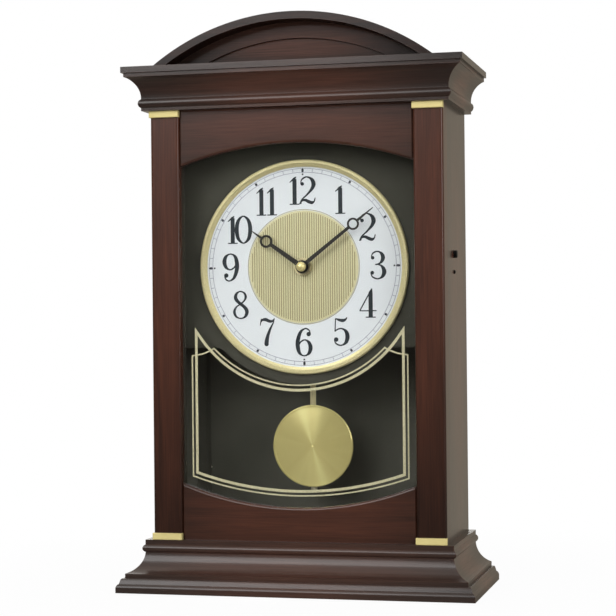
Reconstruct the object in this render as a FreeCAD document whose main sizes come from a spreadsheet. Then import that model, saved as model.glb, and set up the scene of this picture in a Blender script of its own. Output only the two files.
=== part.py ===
"""Desk pendulum clock: a moulded wooden case, a glazed front, a quartz movement and a pendulum.

Frame: X to the right seen from the front, Y from the front to the back, Z up, millimetres.
The origin is at the middle of the footprint, on the surface that the clock stands on.
"""
import FreeCAD, Part
import math
import os
import Sketcher

doc = FreeCAD.newDocument("DeskPendulumClock")
sheet = doc.addObject("Spreadsheet::Sheet", "Sizes")

# Driving sizes in millimetres, angles in degrees, counts as plain numbers.
SIZES = {
    # case
    "case_width": 210, "case_depth": 94, "side_wall": 9, "base_height": 36.8, "post_height": 303.2,
    "pad_height": 1, "pad_radius": 8, "fit_gap": 0.3, "overrun": 5,
    # base moulding, widths outwards from the case, rises of its curves
    "base_overhang": 22.1, "base_setback": 2.1, "base_nose_height": 4.5, "base_nose_rise": 0.46,
    "base_shoulder_width": 1.9, "base_shoulder_height": 7.2, "base_step_width": 2.7,
    "base_step_height": 9.7, "base_step_rise": 0.32, "base_ledge_width": 4, "base_ledge_height": 10.9,
    "base_fillet_width": 5.4, "base_cove_height": 14, "base_cove_rise": 2.8,
    "base_neck_width": 16.8, "base_neck_drop": 9.2, "base_bead_drop": 8.6, "base_collar": 3.4,
    "base_bead_rise": 1.76, "moulding_inset": 12, "board_thickness": 12,
    # cornice moulding, heights above its own underside
    "cornice_neck_width": 11.3, "cornice_bead_height": 2, "cornice_bead_top": 8.3,
    "cornice_bead_rise": 1.86, "cornice_cove_height": 9, "cornice_cove_width": 2.2,
    "cornice_cove_rise": 2.52, "cornice_fillet_width": 1.6, "cornice_fillet_height": 2.7,
    "cornice_height": 26, "slab_overhang": 16.3, "slab_thickness": 4.3,
    # pediment
    "arch_radius": 165, "arch_rise": 34.6, "arch_band": 5.2, "arch_setback": 8.3, "arch_depth": 26,
    "arch_recess": 16, "field_margin": 16.4, "field_depth": 2.5,
    # front
    "pilaster_width": 21, "pilaster_depth": 15, "pilaster_round": 2, "cap_height": 4.7,
    "cap_proud": 2.5, "cap_lap": 0.3, "cap_round": 0.4, "rail_setback": 1.5, "rail_thickness": 4.5,
    "rail_round": 1.8, "rail_bevel": 1.2, "rail_end_height": 40, "top_rail_rise": 15,
    "bottom_rail_sag": 16.4,
    "glass_thickness": 2, "glass_side_gap": 1, "glass_end_gap": 3.2,
    # battens and dial board
    "batten_width": 8, "front_batten_depth": 18, "rear_batten_depth": 10, "dial_board_thickness": 3,
    "dial_board_shoulder": 61.5, "dial_board_drop": 57.1, "dial_board_rise": 26.1,
    "dial_drop": 111.3,
    # dial
    "ring_margin": 12, "ring_width": 5, "ring_rise": 3.2, "ring_bevel": 0.8, "ring_slope": 1.8,
    "ring_lip": 0.6, "ring_seat": 1, "plate_thickness": 1, "chapter_width": 31,
    "disc_thickness": 0.4,
    # hands
    "minute_hand_angle": 52, "hour_hand_angle": 305.3, "hand_thickness": 0.6, "hour_hand_lift": 4.2,
    "hand_spacing": 2, "minute_tip_gap": 5, "minute_ring_outer": 4.3,
    "minute_ring_inner": 2.9, "minute_root_width": 2.9, "minute_neck_width": 2.1,
    "hour_ring_outer": 4.6, "hour_ring_inner": 3,
    "hour_root_width": 3.6, "hour_neck_width": 2.6, "hand_tip_width": 0.5, "pointer_width": 1.9,
    "minute_hub_radius": 3.6, "hour_hub_radius": 4.6, "collet_wall": 1.1, "collet_length": 0.7,
    "hand_nut_radius": 3.4, "hand_nut_height": 3.1, "hand_nut_rim": 1.1, "hand_nut_bore": 1.7,
    # motion work
    "running_gap": 0.05, "gear_module": 0.4, "cannon_teeth": 12, "minute_teeth": 36,
    "pinion_teeth": 10, "hour_teeth": 40, "gear_width": 1.3, "cannon_width": 1.9,
    "pinion_width": 2, "minute_shaft_radius": 1.5, "pivot_radius": 1, "hour_pipe_radius": 2.5,
    "gear_slack": 0.1, "gear_spacing": 0.6, "bush_radius": 4, "bush_flange_radius": 6.5,
    "bush_flange": 0.5, "bush_nut_radius": 6.2, "bush_nut_height": 2, "bush_reach": 2.8,
    "minute_thread": 1.6,
    # movement
    "movement_half_width": 32, "movement_foot": 11.3, "movement_wall": 1.6, "post_radius": 2.5,
    "post_inset": 5, "plate_gap": 1, "gear_plate_thickness": 1.4, "cover_thickness": 1.6,
    "coil_radius": 6,
    "coil_core_radius": 3.2, "coil_flange": 0.8, "coil_gap": 1.2, "motor_coil_offset": 17,
    "motor_coil_drop": 10, "cell_radius": 7, "cell_length": 49, "cell_nub_radius": 2.7,
    "cell_nub": 1.2, "cell_gap": 1.2, "cell_side_gap": 2.6, "cell_lid_gap": 1.1, "cell_spring": 7.1,
    "contact_thickness": 0.5, "contact_width": 10, "spring_large": 4.6, "spring_small": 2.6,
    "battery_lip": 3, "lip_wall": 1.2,
    "hook_width": 1, "hook_reach": 0.6, "groove_depth": 0.9, "slide_gap": 0.1,
    "setting_knob_radius": 6.5, "setting_knob_height": 7.5, "knob_gap": 0.9, "knob_round": 0.6,
    "volume_offset": 21, "volume_rise": 9, "volume_knob_radius": 5.5, "volume_knob_height": 4.6,
    "volume_shaft_radius": 1.5, "volume_flange_radius": 2.6, "volume_flange": 1.2,
    # pendulum
    "pendulum_drop": 22.7, "bob_clearance": 34, "pivot_boss_radius": 3, "pivot_boss": 0.5,
    "hanger_gap": 0.2, "hanger_thickness": 1.2, "hanger_eye": 4, "hanger_width": 7,
    "hanger_length": 22, "snap_radius": 1.4, "snap_head": 0.9, "snap_slit": 0.4,
    "rod_width": 4.1, "rod_thickness": 1, "rod_top_drop": 16, "bob_radius": 29.5, "bob_dome": 1.6,
    "bob_rim": 1.5, "bob_lip_width": 1.6, "bob_lip": 0.4, "stud_radius": 1, "stud_length": 4,
    "rating_nut_radius": 2.3, "rating_nut_height": 2.4,
    # back
    "back_recess": 4.5, "panel_thickness": 4, "panel_height": 85, "door_gap": 0.5, "door_rest": 0.3,
    "door_hinge_gap": 1.4, "hinge_barrel_radius": 1.8, "hinge_pin_radius": 0.8, "hinge_length": 20,
    "hinge_leaf": 1, "hinge_leaf_width": 12, "hinge_case_leaf_width": 5, "hinge_axial_gap": 0.15,
    "hinge_inset": 38, "knob_inset": 12, "door_knob_radius": 5, "door_knob_neck": 3,
    "door_knob_height": 3.9, "door_knob_shank": 1.5, "magnet_width": 6, "magnet_height": 16,
    "magnet_depth": 8, "grille_pitch": 6.5, "grille_hole_radius": 1.6, "speaker_radius": 20,
    "speaker_flange": 1.6, "speaker_flange_width": 2.5, "speaker_depth": 15,
    "speaker_magnet_radius": 11, "speaker_magnet_depth": 7, "speaker_cone_depth": 6,
    "speaker_cap_radius": 5,
    # screws
    "screw_radius": 1.2, "screw_head_radius": 2.6, "screw_head": 1.3, "screw_length": 9,
    "screw_inset": 4, "pin_screw_radius": 0.8, "pin_screw_head_radius": 1.5, "pin_screw_head": 0.5,
    "pin_screw_length": 3.4, "pin_screw_spacing": 6,
    # right side: button and sensor
    "button_depth_place": 41, "button_rise": 7.7, "button_radius": 2.7,
    "button_proud": 2.5, "button_flange_radius": 4, "button_flange": 1, "button_round": 0.5,
    "button_travel": 1.5, "sensor_drop": 12.5, "sensor_radius": 1.5, "sensor_flange_radius": 2.6,
    "sensor_flange": 1.2, "sensor_recess": 0.4, "housing_width": 14, "housing_margin": 8,
    "housing_depth": 9, "housing_wall": 1.2, "switch_radius": 2,
}

# Shares of a size that they follow.
tooth_root_share = 0.29
tooth_pitch_share = 0.23
tooth_tip_share = 0.11
hour_hand_share = 0.682
minute_ring_share = 0.723
hour_ring_share = 0.707
addendum_share = 0.8
dedendum_share = 1.25


class Size:
    """A size that keeps its value together with the formula that ties it to the sheet."""

    def __init__(self, value, formula):
        self.value = float(value)
        self.formula = formula

    def __add__(self, other):
        other = as_size(other)
        return Size(self.value + other.value, "(%s + %s)" % (self.formula, other.formula))

    def __sub__(self, other):
        other = as_size(other)
        return Size(self.value - other.value, "(%s - %s)" % (self.formula, other.formula))

    def __mul__(self, other):
        other = as_size(other)
        return Size(self.value * other.value, "(%s * %s)" % (self.formula, other.formula))

    def __truediv__(self, other):
        other = as_size(other)
        return Size(self.value / other.value, "(%s / %s)" % (self.formula, other.formula))

    def __neg__(self):
        return Size(-self.value, "(0 - %s)" % self.formula)

    __radd__ = __add__
    __rmul__ = __mul__


def as_size(number):
    """Turns a plain number into a Size, and leaves a Size as it is."""
    return number if isinstance(number, Size) else Size(number, "%r" % float(number))


def root(size):
    """Square root of a Size."""
    return Size(math.sqrt(size.value), "sqrt(%s)" % size.formula)


def sine(angle):
    """Sine of an angle in degrees."""
    return Size(math.sin(math.radians(angle.value)), "sin(%s)" % angle.formula)


def cosine(angle):
    """Cosine of an angle in degrees."""
    return Size(math.cos(math.radians(angle.value)), "cos(%s)" % angle.formula)


class Named:
    """The sizes of the sheet, by name."""


s = Named()
for row, (alias, number) in enumerate(SIZES.items(), start=1):
    sheet.set("A%d" % row, alias)
    sheet.set("B%d" % row, str(number))
    sheet.setAlias("B%d" % row, alias)
    setattr(s, alias, Size(number, "Sizes." + alias))
doc.recompute()

ZERO = as_size(0)
nodes = []


def bind(item, prop, size):
    """Ties a property to the sheet."""
    item.setExpression(prop, as_size(size).formula)


def keep(item):
    """Marks an object as one piece of the clock, written to its own file."""
    nodes.append(item)
    return item


def place(item, x, y, z):
    """Ties the place of an object to the sheet."""
    bind(item, "Placement.Base.x", x)
    bind(item, "Placement.Base.y", y)
    bind(item, "Placement.Base.z", z)


# Solid primitives and booleans.


def box(name, x, y, z):
    """A block between two values on each axis."""
    block = doc.addObject("Part::Box", name)
    bind(block, "Length", x[1] - x[0])
    bind(block, "Width", y[1] - y[0])
    bind(block, "Height", z[1] - z[0])
    place(block, x[0], y[0], z[0])
    return block


def bar(name, axis, radius, start, length, tip_radius=None):
    """A round bar, or a cone, from a start point along X, Y or Z."""
    if tip_radius is None:
        item = doc.addObject("Part::Cylinder", name)
        bind(item, "Radius", radius)
    else:
        item = doc.addObject("Part::Cone", name)
        bind(item, "Radius1", radius)
        bind(item, "Radius2", tip_radius)
    bind(item, "Height", length)
    turns = {"X": FreeCAD.Rotation(0, 90, 0), "Y": FreeCAD.Rotation(0, 0, -90), "Z": FreeCAD.Rotation()}
    item.Placement = FreeCAD.Placement(FreeCAD.Vector(), turns[axis])
    place(item, *start)
    return item


def cut(name, base, tools):
    """A solid less one or more others."""
    tool = tools[0]
    if len(tools) > 1:
        tool = doc.addObject("Part::MultiFuse", name + "_holes")
        tool.Shapes = tools
    item = doc.addObject("Part::Cut", name)
    item.Base = base
    item.Tool = tool
    return item


def fuse(name, parts):
    """Several overlapping solids as one."""
    item = doc.addObject("Part::MultiFuse", name)
    item.Shapes = parts
    item.Refine = True
    return item


def group(name, parts):
    """Several like pieces, each a solid of its own, under one name."""
    item = doc.addObject("Part::Compound", name)
    item.Links = parts
    return item


# Bodies with sketches.


def body(name, x=ZERO, y=ZERO, z=ZERO):
    """An empty body with its origin at a place of the clock."""
    item = doc.addObject("PartDesign::Body", name)
    place(item, x, y, z)
    return item


def datum(item, role):
    """A plane or axis of a body's own origin."""
    return [part for part in item.Origin.OriginFeatures if part.Role == role][0]


def circle(x, y, radius):
    """A full circle for a sketch."""
    return ("circle", x, y, radius)


def rectangle(x, y):
    """A rectangle for a sketch, between two values on each axis."""
    return [(x[0], y[0]), (x[1], y[0]), (x[1], y[1]), (x[0], y[1])]


def arc_of(start, end, radius, side):
    """The arc from start to end that bulges to the left (1) or right (-1) of the way there."""
    (x0, y0), (x1, y1) = start, end
    chord = math.hypot(x1 - x0, y1 - y0)
    rise = math.sqrt(max(radius * radius - chord * chord / 4, 0))
    mid_x = (x0 + x1) / 2 + side * (y1 - y0) / chord * rise
    mid_y = (y0 + y1) / 2 - side * (x1 - x0) / chord * rise
    centre = FreeCAD.Vector(mid_x, mid_y, 0)
    first = math.atan2(y0 - mid_y, x0 - mid_x)
    last = math.atan2(y1 - mid_y, x1 - mid_x)
    if side > 0:
        first, last = last, first
    if last < first:
        last += math.tau
    return Part.ArcOfCircle(Part.Circle(centre, FreeCAD.Vector(0, 0, 1), radius), first, last)


def pin(sketch, geometry, position, x, y):
    """Ties a point of a sketch to its two coordinates."""
    across = Sketcher.Constraint("DistanceX", -1, 1, geometry, position, x.value)
    up = Sketcher.Constraint("DistanceY", -1, 1, geometry, position, y.value)
    bind(sketch, "Constraints[%d]" % sketch.addConstraint(across), x)
    bind(sketch, "Constraints[%d]" % sketch.addConstraint(up), y)


def tie_radius(sketch, geometry, radius):
    """Ties the radius of an arc or circle."""
    rule = Sketcher.Constraint("Radius", geometry, radius.value)
    bind(sketch, "Constraints[%d]" % sketch.addConstraint(rule), radius)


def draw_loop(sketch, points):
    """Draws a closed outline. A point may carry the radius and side of the arc that leads to it."""
    first = sketch.GeometryCount
    heads = []
    tails = []
    for start, end in zip(points[-1:] + points[:-1], points):
        a = (as_size(start[0]).value, as_size(start[1]).value)
        b = (as_size(end[0]).value, as_size(end[1]).value)
        if len(end) == 2:
            line = Part.LineSegment(FreeCAD.Vector(a[0], a[1], 0), FreeCAD.Vector(b[0], b[1], 0))
            sketch.addGeometry(line, False)
            heads.append(1)
            tails.append(2)
        else:
            sketch.addGeometry(arc_of(a, b, end[2].value, end[3]), False)
            heads.append(2 if end[3] > 0 else 1)
            tails.append(1 if end[3] > 0 else 2)
    count = len(points)
    for index in range(count):
        follower = (index + 1) % count
        link = Sketcher.Constraint(
            "Coincident", first + index, tails[index], first + follower, heads[follower]
        )
        sketch.addConstraint(link)
    for index, point in enumerate(points):
        pin(sketch, first + index, tails[index], as_size(point[0]), as_size(point[1]))
        if len(point) > 2:
            tie_radius(sketch, first + index, point[2])


def draw(item, name, plane, start, loops):
    """A sketch on a plane of the body, moved along that plane's axis to start."""
    sketch = item.newObject("Sketcher::SketchObject", name)
    sketch.AttachmentSupport = [(datum(item, plane), "")]
    sketch.MapMode = "FlatFace"
    bind(sketch, "AttachmentOffset.Base.z", -start if plane == "XZ_Plane" else start)
    for loop in loops:
        if loop[0] == "circle":
            x, y, radius = (as_size(value) for value in loop[1:])
            centre = FreeCAD.Vector(x.value, y.value, 0)
            ring = Part.Circle(centre, FreeCAD.Vector(0, 0, 1), radius.value)
            geometry = sketch.addGeometry(ring, False)
            tie_radius(sketch, geometry, radius)
            pin(sketch, geometry, 3, x, y)
        else:
            draw_loop(sketch, loop)
    return sketch


def pad(item, name, plane, start, length, loops):
    """Adds a straight extrusion that grows along the positive axis."""
    sketch = draw(item, name + "_sketch", plane, start, loops)
    feature = item.newObject("PartDesign::Pad", name)
    feature.Profile = sketch
    bind(feature, "Length", length)
    feature.Reversed = plane == "XZ_Plane"
    return feature


def pocket(item, name, plane, start, length, loops):
    """Removes a straight extrusion that grows along the positive axis."""
    sketch = draw(item, name + "_sketch", plane, start, loops)
    feature = item.newObject("PartDesign::Pocket", name)
    feature.Profile = sketch
    bind(feature, "Length", length)
    feature.Reversed = plane != "XZ_Plane"
    return feature


def turn(item, name, outline, axis="Y_Axis"):
    """Adds a shape turned about the body's own axis, from its half outline on the XY plane."""
    sketch = draw(item, name + "_sketch", "XY_Plane", ZERO, [outline])
    feature = item.newObject("PartDesign::Revolution", name)
    feature.Profile = sketch
    feature.ReferenceAxis = (datum(item, axis), [""])
    feature.Angle = 360
    return feature


def named_edges(feature):
    """The edges of a feature with their names."""
    doc.recompute()
    return [("Edge%d" % number, edge) for number, edge in enumerate(feature.Shape.Edges, start=1)]


def soften(item, name, base, radius, wanted):
    """Rounds the edges of a feature that the test picks."""
    names = [edge_name for edge_name, edge in named_edges(base) if wanted(edge)]
    feature = item.newObject("PartDesign::Fillet", name)
    feature.Base = (base, names)
    bind(feature, "Radius", radius)
    return feature


def lies(edge, axis, value):
    """True where the whole edge has one value on an axis."""
    low, high = {
        "x": (edge.BoundBox.XMin, edge.BoundBox.XMax),
        "y": (edge.BoundBox.YMin, edge.BoundBox.YMax),
        "z": (edge.BoundBox.ZMin, edge.BoundBox.ZMax),
    }[axis]
    close = 1e-4
    return abs(low - value.value) < close and abs(high - value.value) < close


# Places that many pieces share.
half = s.case_width / 2
base_front = s.base_overhang - s.base_setback
front = (base_front - s.case_depth) / 2
back = front + s.case_depth
deck = s.base_height
ceiling = deck + s.post_height
inner = half - s.side_wall
opening = half - s.pilaster_width
glass_front = front + s.rail_setback + s.rail_thickness
glass_back = glass_front + s.glass_thickness
board_front = glass_back + s.front_batten_depth
board_back = board_front + s.dial_board_thickness
rear_seat = back - s.back_recess - s.panel_thickness
dial_z = ceiling - s.dial_drop
pivot_z = dial_z - s.pendulum_drop
ring_outer = inner - s.batten_width - s.ring_margin
ring_inner = ring_outer - s.ring_width


# Base: three mitred mouldings, a back rail and a board inside them, on felt pads.


def bow(start, end, rise, side):
    """The end point of a curved run of an outline, from the rise of its arc over the chord."""
    across = (end[0] - start[0]) / 2
    up = (end[1] - start[1]) / 2
    radius = (across * across + up * up + rise * rise) / (rise * 2)
    return (end[0], end[1], radius, side)


def base_outline():
    """Section of the base moulding, as width outwards from the case and height."""
    over = s.base_overhang
    nose = (over, s.base_nose_height)
    step = (over - s.base_step_width, s.base_step_height)
    ledge = (over - s.base_ledge_width, s.base_ledge_height)
    cove = (over - s.base_fillet_width, s.base_cove_height)
    neck = over - s.base_neck_width
    bead = (neck, s.base_height - s.base_bead_drop)
    shoulder = (over - s.base_shoulder_width, s.base_shoulder_height)
    return [
        (-s.moulding_inset, s.pad_height),
        (over, s.pad_height),
        nose,
        bow(nose, shoulder, s.base_nose_rise, -1),
        step,
        bow(step, ledge, s.base_step_rise, -1),
        (cove[0], s.base_ledge_height),
        cove,
        bow(cove, (neck, s.base_height - s.base_neck_drop), s.base_cove_rise, 1),
        bead,
        bow(bead, (neck, s.base_height - s.base_collar), s.base_bead_rise, -1),
        (neck, s.base_height),
        (-s.moulding_inset, s.base_height),
    ]


def cornice_outline():
    """Section of the cornice moulding, as width outwards from the case and height."""
    neck = s.slab_overhang - s.cornice_neck_width
    top = ceiling + s.cornice_height
    bead = (neck, ceiling + s.cornice_bead_height)
    cove = (neck, ceiling + s.cornice_cove_height)
    cove_top = top - s.cornice_fillet_height
    fillet = s.slab_overhang - s.cornice_fillet_width
    return [
        (-s.moulding_inset, ceiling),
        (neck, ceiling),
        bead,
        bow(bead, (neck, ceiling + s.cornice_bead_top), s.cornice_bead_rise, -1),
        cove,
        bow(cove, (s.slab_overhang - s.cornice_cove_width, cove_top), s.cornice_cove_rise, 1),
        (fillet, cove_top),
        (fillet, top),
        (-s.moulding_inset, top),
    ]


def swap(outline, change):
    """The outline with each point's width changed, and its arcs kept."""
    return [(change(point[0]),) + tuple(point[1:]) for point in outline]


def mitred_front(name, outline, reach, face):
    """A moulding along the front, cut at 45 degrees where it meets the side mouldings."""
    item = body(name)
    section = [
        (face - point[0],) + tuple(point[1:3]) + ((-point[3],) if len(point) > 3 else ())
        for point in outline
    ]
    start = -half - reach
    pad(item, name + "_length", "YZ_Plane", start, (half + reach) * 2, [section])
    far = reach + s.overrun
    waste = s.moulding_inset + s.overrun
    ends = []
    for side in (-1, 1):
        tip = (side * (half - waste), face + waste)
        outer = (side * (half + far), face - far)
        corner = (side * (half + far), face + waste)
        ends.append([tip, outer, corner])
    pocket(item, name + "_mitre", "XY_Plane", ZERO, ceiling * 2, ends)
    return keep(item)


def mitred_side(name, outline, reach, face, side):
    """A moulding along one side, mitred at the front and flush with the back of the case."""
    item = body(name)
    section = swap(outline, lambda width: side * (half + width))
    if side < 0:
        section = [point[:3] + (-point[3],) if len(point) > 3 else point for point in section]
    pad(item, name + "_length", "XZ_Plane", face - reach, back - face + reach, [section])
    far = reach + s.overrun
    waste = s.moulding_inset + s.overrun
    tip = (side * (half - waste), face + waste)
    outer = (side * (half + far), face - far)
    corner = (side * (half - waste), face - far)
    pocket(item, name + "_mitre", "XY_Plane", ZERO, ceiling * 2, [[tip, outer, corner]])
    return keep(item)


base_face = front + s.base_setback
mitred_front("base_moulding_front", base_outline(), s.base_overhang, base_face)
mitred_side("base_moulding_left", base_outline(), s.base_overhang, base_face, -1)
mitred_side("base_moulding_right", base_outline(), s.base_overhang, base_face, 1)

well = half - s.moulding_inset
keep(box(
    "base_back_rail",
    (-well, well),
    (back - s.moulding_inset, back),
    (s.pad_height, s.base_height),
))
keep(box(
    "base_board",
    (-well, well),
    (base_face + s.moulding_inset, back - s.moulding_inset),
    (s.base_height - s.board_thickness, s.base_height),
))
pads = []
for side in (-1, 1):
    for depth in (front + s.pad_radius, back - s.pad_radius * 2):
        name = "felt_pad_%d" % (len(pads) + 1)
        pads.append(bar(name, "Z", s.pad_radius, (side * half, depth, ZERO), s.pad_height))
keep(group("felt_pads", pads))


# Case: side panels and the two pilasters that stand on the base.

button_y = front + s.button_depth_place
button_z = dial_z + s.button_rise
sensor_z = button_z - s.sensor_drop

panel_front = front + s.pilaster_depth
keep(box("side_panel_left", (-half, -inner), (panel_front, back), (deck, ceiling)))
right_panel = box("right_panel_board", (inner, half), (panel_front, back), (deck, ceiling))
button_hole = bar(
    "button_hole",
    "X",
    s.button_radius + s.running_gap,
    (inner - s.overrun, button_y, button_z),
    s.side_wall + s.overrun * 2,
)
sensor_hole = bar(
    "sensor_hole",
    "X",
    s.sensor_radius + s.running_gap,
    (inner - s.overrun, button_y, sensor_z),
    s.side_wall + s.overrun * 2,
)
keep(cut("side_panel_right", right_panel, [button_hole, sensor_hole]))

for side, name in ((-1, "pilaster_left"), (1, "pilaster_right")):
    post = body(name)
    section = [
        (side * half, front),
        (side * opening, front),
        (side * opening, glass_front),
        (side * inner, glass_front),
        (side * inner, panel_front),
        (side * half, panel_front),
    ]
    shaft = pad(post, name + "_shaft", "XY_Plane", deck, s.post_height, [section])
    rounded = soften(
        post,
        name + "_edges",
        shaft,
        s.pilaster_round,
        lambda edge: lies(edge, "y", front) and edge.BoundBox.ZLength > s.cap_height.value,
    )
    span = sorted((side * (half + s.overrun), side * (opening - s.overrun)), key=lambda v: v.value)
    notches = [
        rectangle(span, (deck - s.overrun, deck + s.cap_height)),
        rectangle(span, (ceiling - s.cap_height, ceiling + s.overrun)),
    ]
    pocket(
        post,
        name + "_cap_seats",
        "XZ_Plane",
        front - s.overrun,
        s.overrun + s.rail_setback,
        notches,
    )
    keep(post)

caps = []
for side in (-1, 1):
    for low in (deck, ceiling - s.cap_height):
        name = "brass_cap_%d" % (len(caps) + 1)
        cap = body(name)
        edges = (side * (half + s.cap_lap), side * (opening - s.cap_lap))
        span = sorted(edges, key=lambda v: v.value)
        start = front - s.cap_proud
        outline = rectangle(span, (low, low + s.cap_height))
        block = pad(cap, name + "_bar", "XZ_Plane", start, s.cap_proud + s.rail_setback, [outline])
        soften(cap, name + "_edges", block, s.cap_round, lambda edge: lies(edge, "y", start))
        caps.append(cap)
keep(group("brass_caps", caps))


# Front: two rails with curved edges, the glass behind them, and the battens that hold it.


def rise_radius(half_chord, rise):
    """Radius of the arc over a chord, from its rise."""
    return (half_chord * half_chord + rise * rise) / (rise * 2)


def ease_rail(item, board):
    """Bevels the ends of a rail's face towards the pilasters and rounds its curved edge."""
    ends = [
        edge_name
        for edge_name, edge in named_edges(board)
        if lies(edge, "y", rail_front) and (lies(edge, "x", opening) or lies(edge, "x", -opening))
    ]
    bevel = item.newObject("PartDesign::Chamfer", item.Name + "_ends")
    bevel.Base = (board, ends)
    bind(bevel, "Size", s.rail_bevel)
    curved = lambda edge: lies(edge, "y", rail_front) and isinstance(edge.Curve, Part.Circle)
    soften(item, item.Name + "_edge", bevel, s.rail_round, curved)


rail_front = front + s.rail_setback
rail_end = ceiling - s.rail_end_height
top_rail = body("top_rail")
top_outline = [
    (-opening, ceiling),
    (-opening, rail_end),
    (opening, rail_end, rise_radius(opening, s.top_rail_rise), 1),
    (opening, ceiling),
]
rail = pad(top_rail, "top_rail_board", "XZ_Plane", rail_front, s.rail_thickness, [top_outline])
ease_rail(top_rail, rail)
keep(top_rail)

bottom_rail = body("bottom_rail")
bottom_end = deck + s.rail_end_height
bottom_outline = [
    (-opening, deck),
    (opening, deck),
    (opening, bottom_end),
    (-opening, bottom_end, rise_radius(opening, s.bottom_rail_sag), 1),
]
rail = pad(bottom_rail, "bottom_rail_board", "XZ_Plane", rail_front, s.rail_thickness, [bottom_outline])
ease_rail(bottom_rail, rail)
keep(bottom_rail)

glass_half = inner - s.glass_side_gap
keep(box(
    "glass_pane",
    (-glass_half, glass_half),
    (glass_front, glass_back),
    (deck + s.glass_end_gap, ceiling - s.glass_end_gap),
))

# The rear battens carry the back panel at their upper end, where its screws go in.
panel_bottom = ceiling - s.panel_height
panel_back = rear_seat + s.panel_thickness
screw_x = inner - s.screw_inset
screw_heights = (panel_bottom + s.screw_inset * 2, ceiling - s.screw_inset * 2)
battens = []
for side in (-1, 1):
    span = sorted((side * inner, side * (inner - s.batten_width)), key=lambda v: v.value)
    battens.append(box(
        "front_batten_%d" % (side + 2), span, (glass_back, board_front), (deck, ceiling)
    ))
    rear = box(
        "rear_batten_blank_%d" % (side + 2),
        span,
        (rear_seat - s.rear_batten_depth, rear_seat),
        (deck, ceiling),
    )
    holes = []
    for level, height in enumerate(screw_heights):
        start = panel_back - s.screw_length
        holes.append(bar(
            "batten_pilot_%d_%d" % (side + 2, level),
            "Y",
            s.screw_radius + s.running_gap,
            (side * screw_x, start - s.running_gap, height),
            s.screw_length,
        ))
    battens.append(cut("rear_batten_%d" % (side + 2), rear, holes))
keep(group("case_battens", battens))


# Top: board, mitred cornice mouldings, slab, and the arched pediment that stands on it.

keep(box(
    "top_board",
    (-well, well),
    (front + s.moulding_inset, back),
    (ceiling, ceiling + s.cornice_height),
))
mitred_front("cornice_moulding_front", cornice_outline(), s.slab_overhang, front)
mitred_side("cornice_moulding_left", cornice_outline(), s.slab_overhang, front, -1)
mitred_side("cornice_moulding_right", cornice_outline(), s.slab_overhang, front, 1)

slab_low = ceiling + s.cornice_height
slab_top = slab_low + s.slab_thickness
slab_half = half + s.slab_overhang
keep(box("cornice_slab", (-slab_half, slab_half), (front - s.slab_overhang, back), (slab_low, slab_top)))

arch_centre = slab_top + s.arch_rise - s.arch_radius
arch_front = front - s.arch_setback
arch_drop = s.arch_radius - s.arch_rise


def arch_half(radius):
    """Half width of an arc about the pediment's centre, where it meets the slab."""
    return root(radius * radius - arch_drop * arch_drop)


band_inner = s.arch_radius - s.arch_band
field_radius = s.arch_radius - s.field_margin
arch = body("pediment_arch")
band = [
    (-arch_half(s.arch_radius), slab_top),
    (arch_half(s.arch_radius), slab_top, s.arch_radius, 1),
    (arch_half(band_inner), slab_top),
    (-arch_half(band_inner), slab_top, band_inner, -1),
]
pad(arch, "pediment_arch_band", "XZ_Plane", arch_front, s.arch_depth, [band])
keep(arch)

tympanum = body("pediment_board")
board_start = arch_front + s.arch_recess
outline = [
    (-arch_half(band_inner), slab_top),
    (arch_half(band_inner), slab_top, band_inner, 1),
]
board_depth = s.arch_depth - s.arch_recess
pad(tympanum, "pediment_board_blank", "XZ_Plane", board_start, board_depth, [outline])
field = [
    (-arch_half(field_radius), slab_top - s.overrun),
    (-arch_half(field_radius), slab_top),
    (arch_half(field_radius), slab_top, field_radius, 1),
    (arch_half(field_radius), slab_top - s.overrun),
]
pocket(
    tympanum,
    "pediment_board_field",
    "XZ_Plane",
    board_start - s.overrun,
    s.overrun + s.field_depth,
    [field],
)
keep(tympanum)


# Dial: board on the battens, white plate, gilt centre disc and the raised ring.

plate_front = board_front - s.plate_thickness
disc_front = plate_front - s.disc_thickness
bush_hole = s.bush_radius + s.running_gap

dial_board = body("dial_board", ZERO, ZERO, dial_z)
board_half = inner - s.fit_gap
shoulder = s.dial_board_shoulder
shoulder_z = -s.dial_board_drop
board_top = ceiling - s.fit_gap - dial_z
outline = [
    (-board_half, board_top),
    (-board_half, shoulder_z),
    (-shoulder, shoulder_z),
    (shoulder, shoulder_z, rise_radius(shoulder, s.dial_board_rise), -1),
    (board_half, shoulder_z),
    (board_half, board_top),
]
pad(
    dial_board,
    "dial_board_panel",
    "XZ_Plane",
    board_front,
    s.dial_board_thickness,
    [outline, circle(ZERO, ZERO, bush_hole)],
)
keep(dial_board)

plate_radius = ring_inner + s.ring_seat - s.running_gap
dial_plate = body("dial_plate", ZERO, ZERO, dial_z)
pad(
    dial_plate,
    "dial_plate_disc",
    "XZ_Plane",
    plate_front,
    s.plate_thickness,
    [circle(ZERO, ZERO, plate_radius), circle(ZERO, ZERO, bush_hole)],
)
keep(dial_plate)

dial_centre = body("dial_centre_disc", ZERO, ZERO, dial_z)
pad(
    dial_centre,
    "dial_centre_sheet",
    "XZ_Plane",
    disc_front,
    s.disc_thickness,
    [circle(ZERO, ZERO, ring_inner - s.chapter_width), circle(ZERO, ZERO, bush_hole)],
)
keep(dial_centre)

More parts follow.
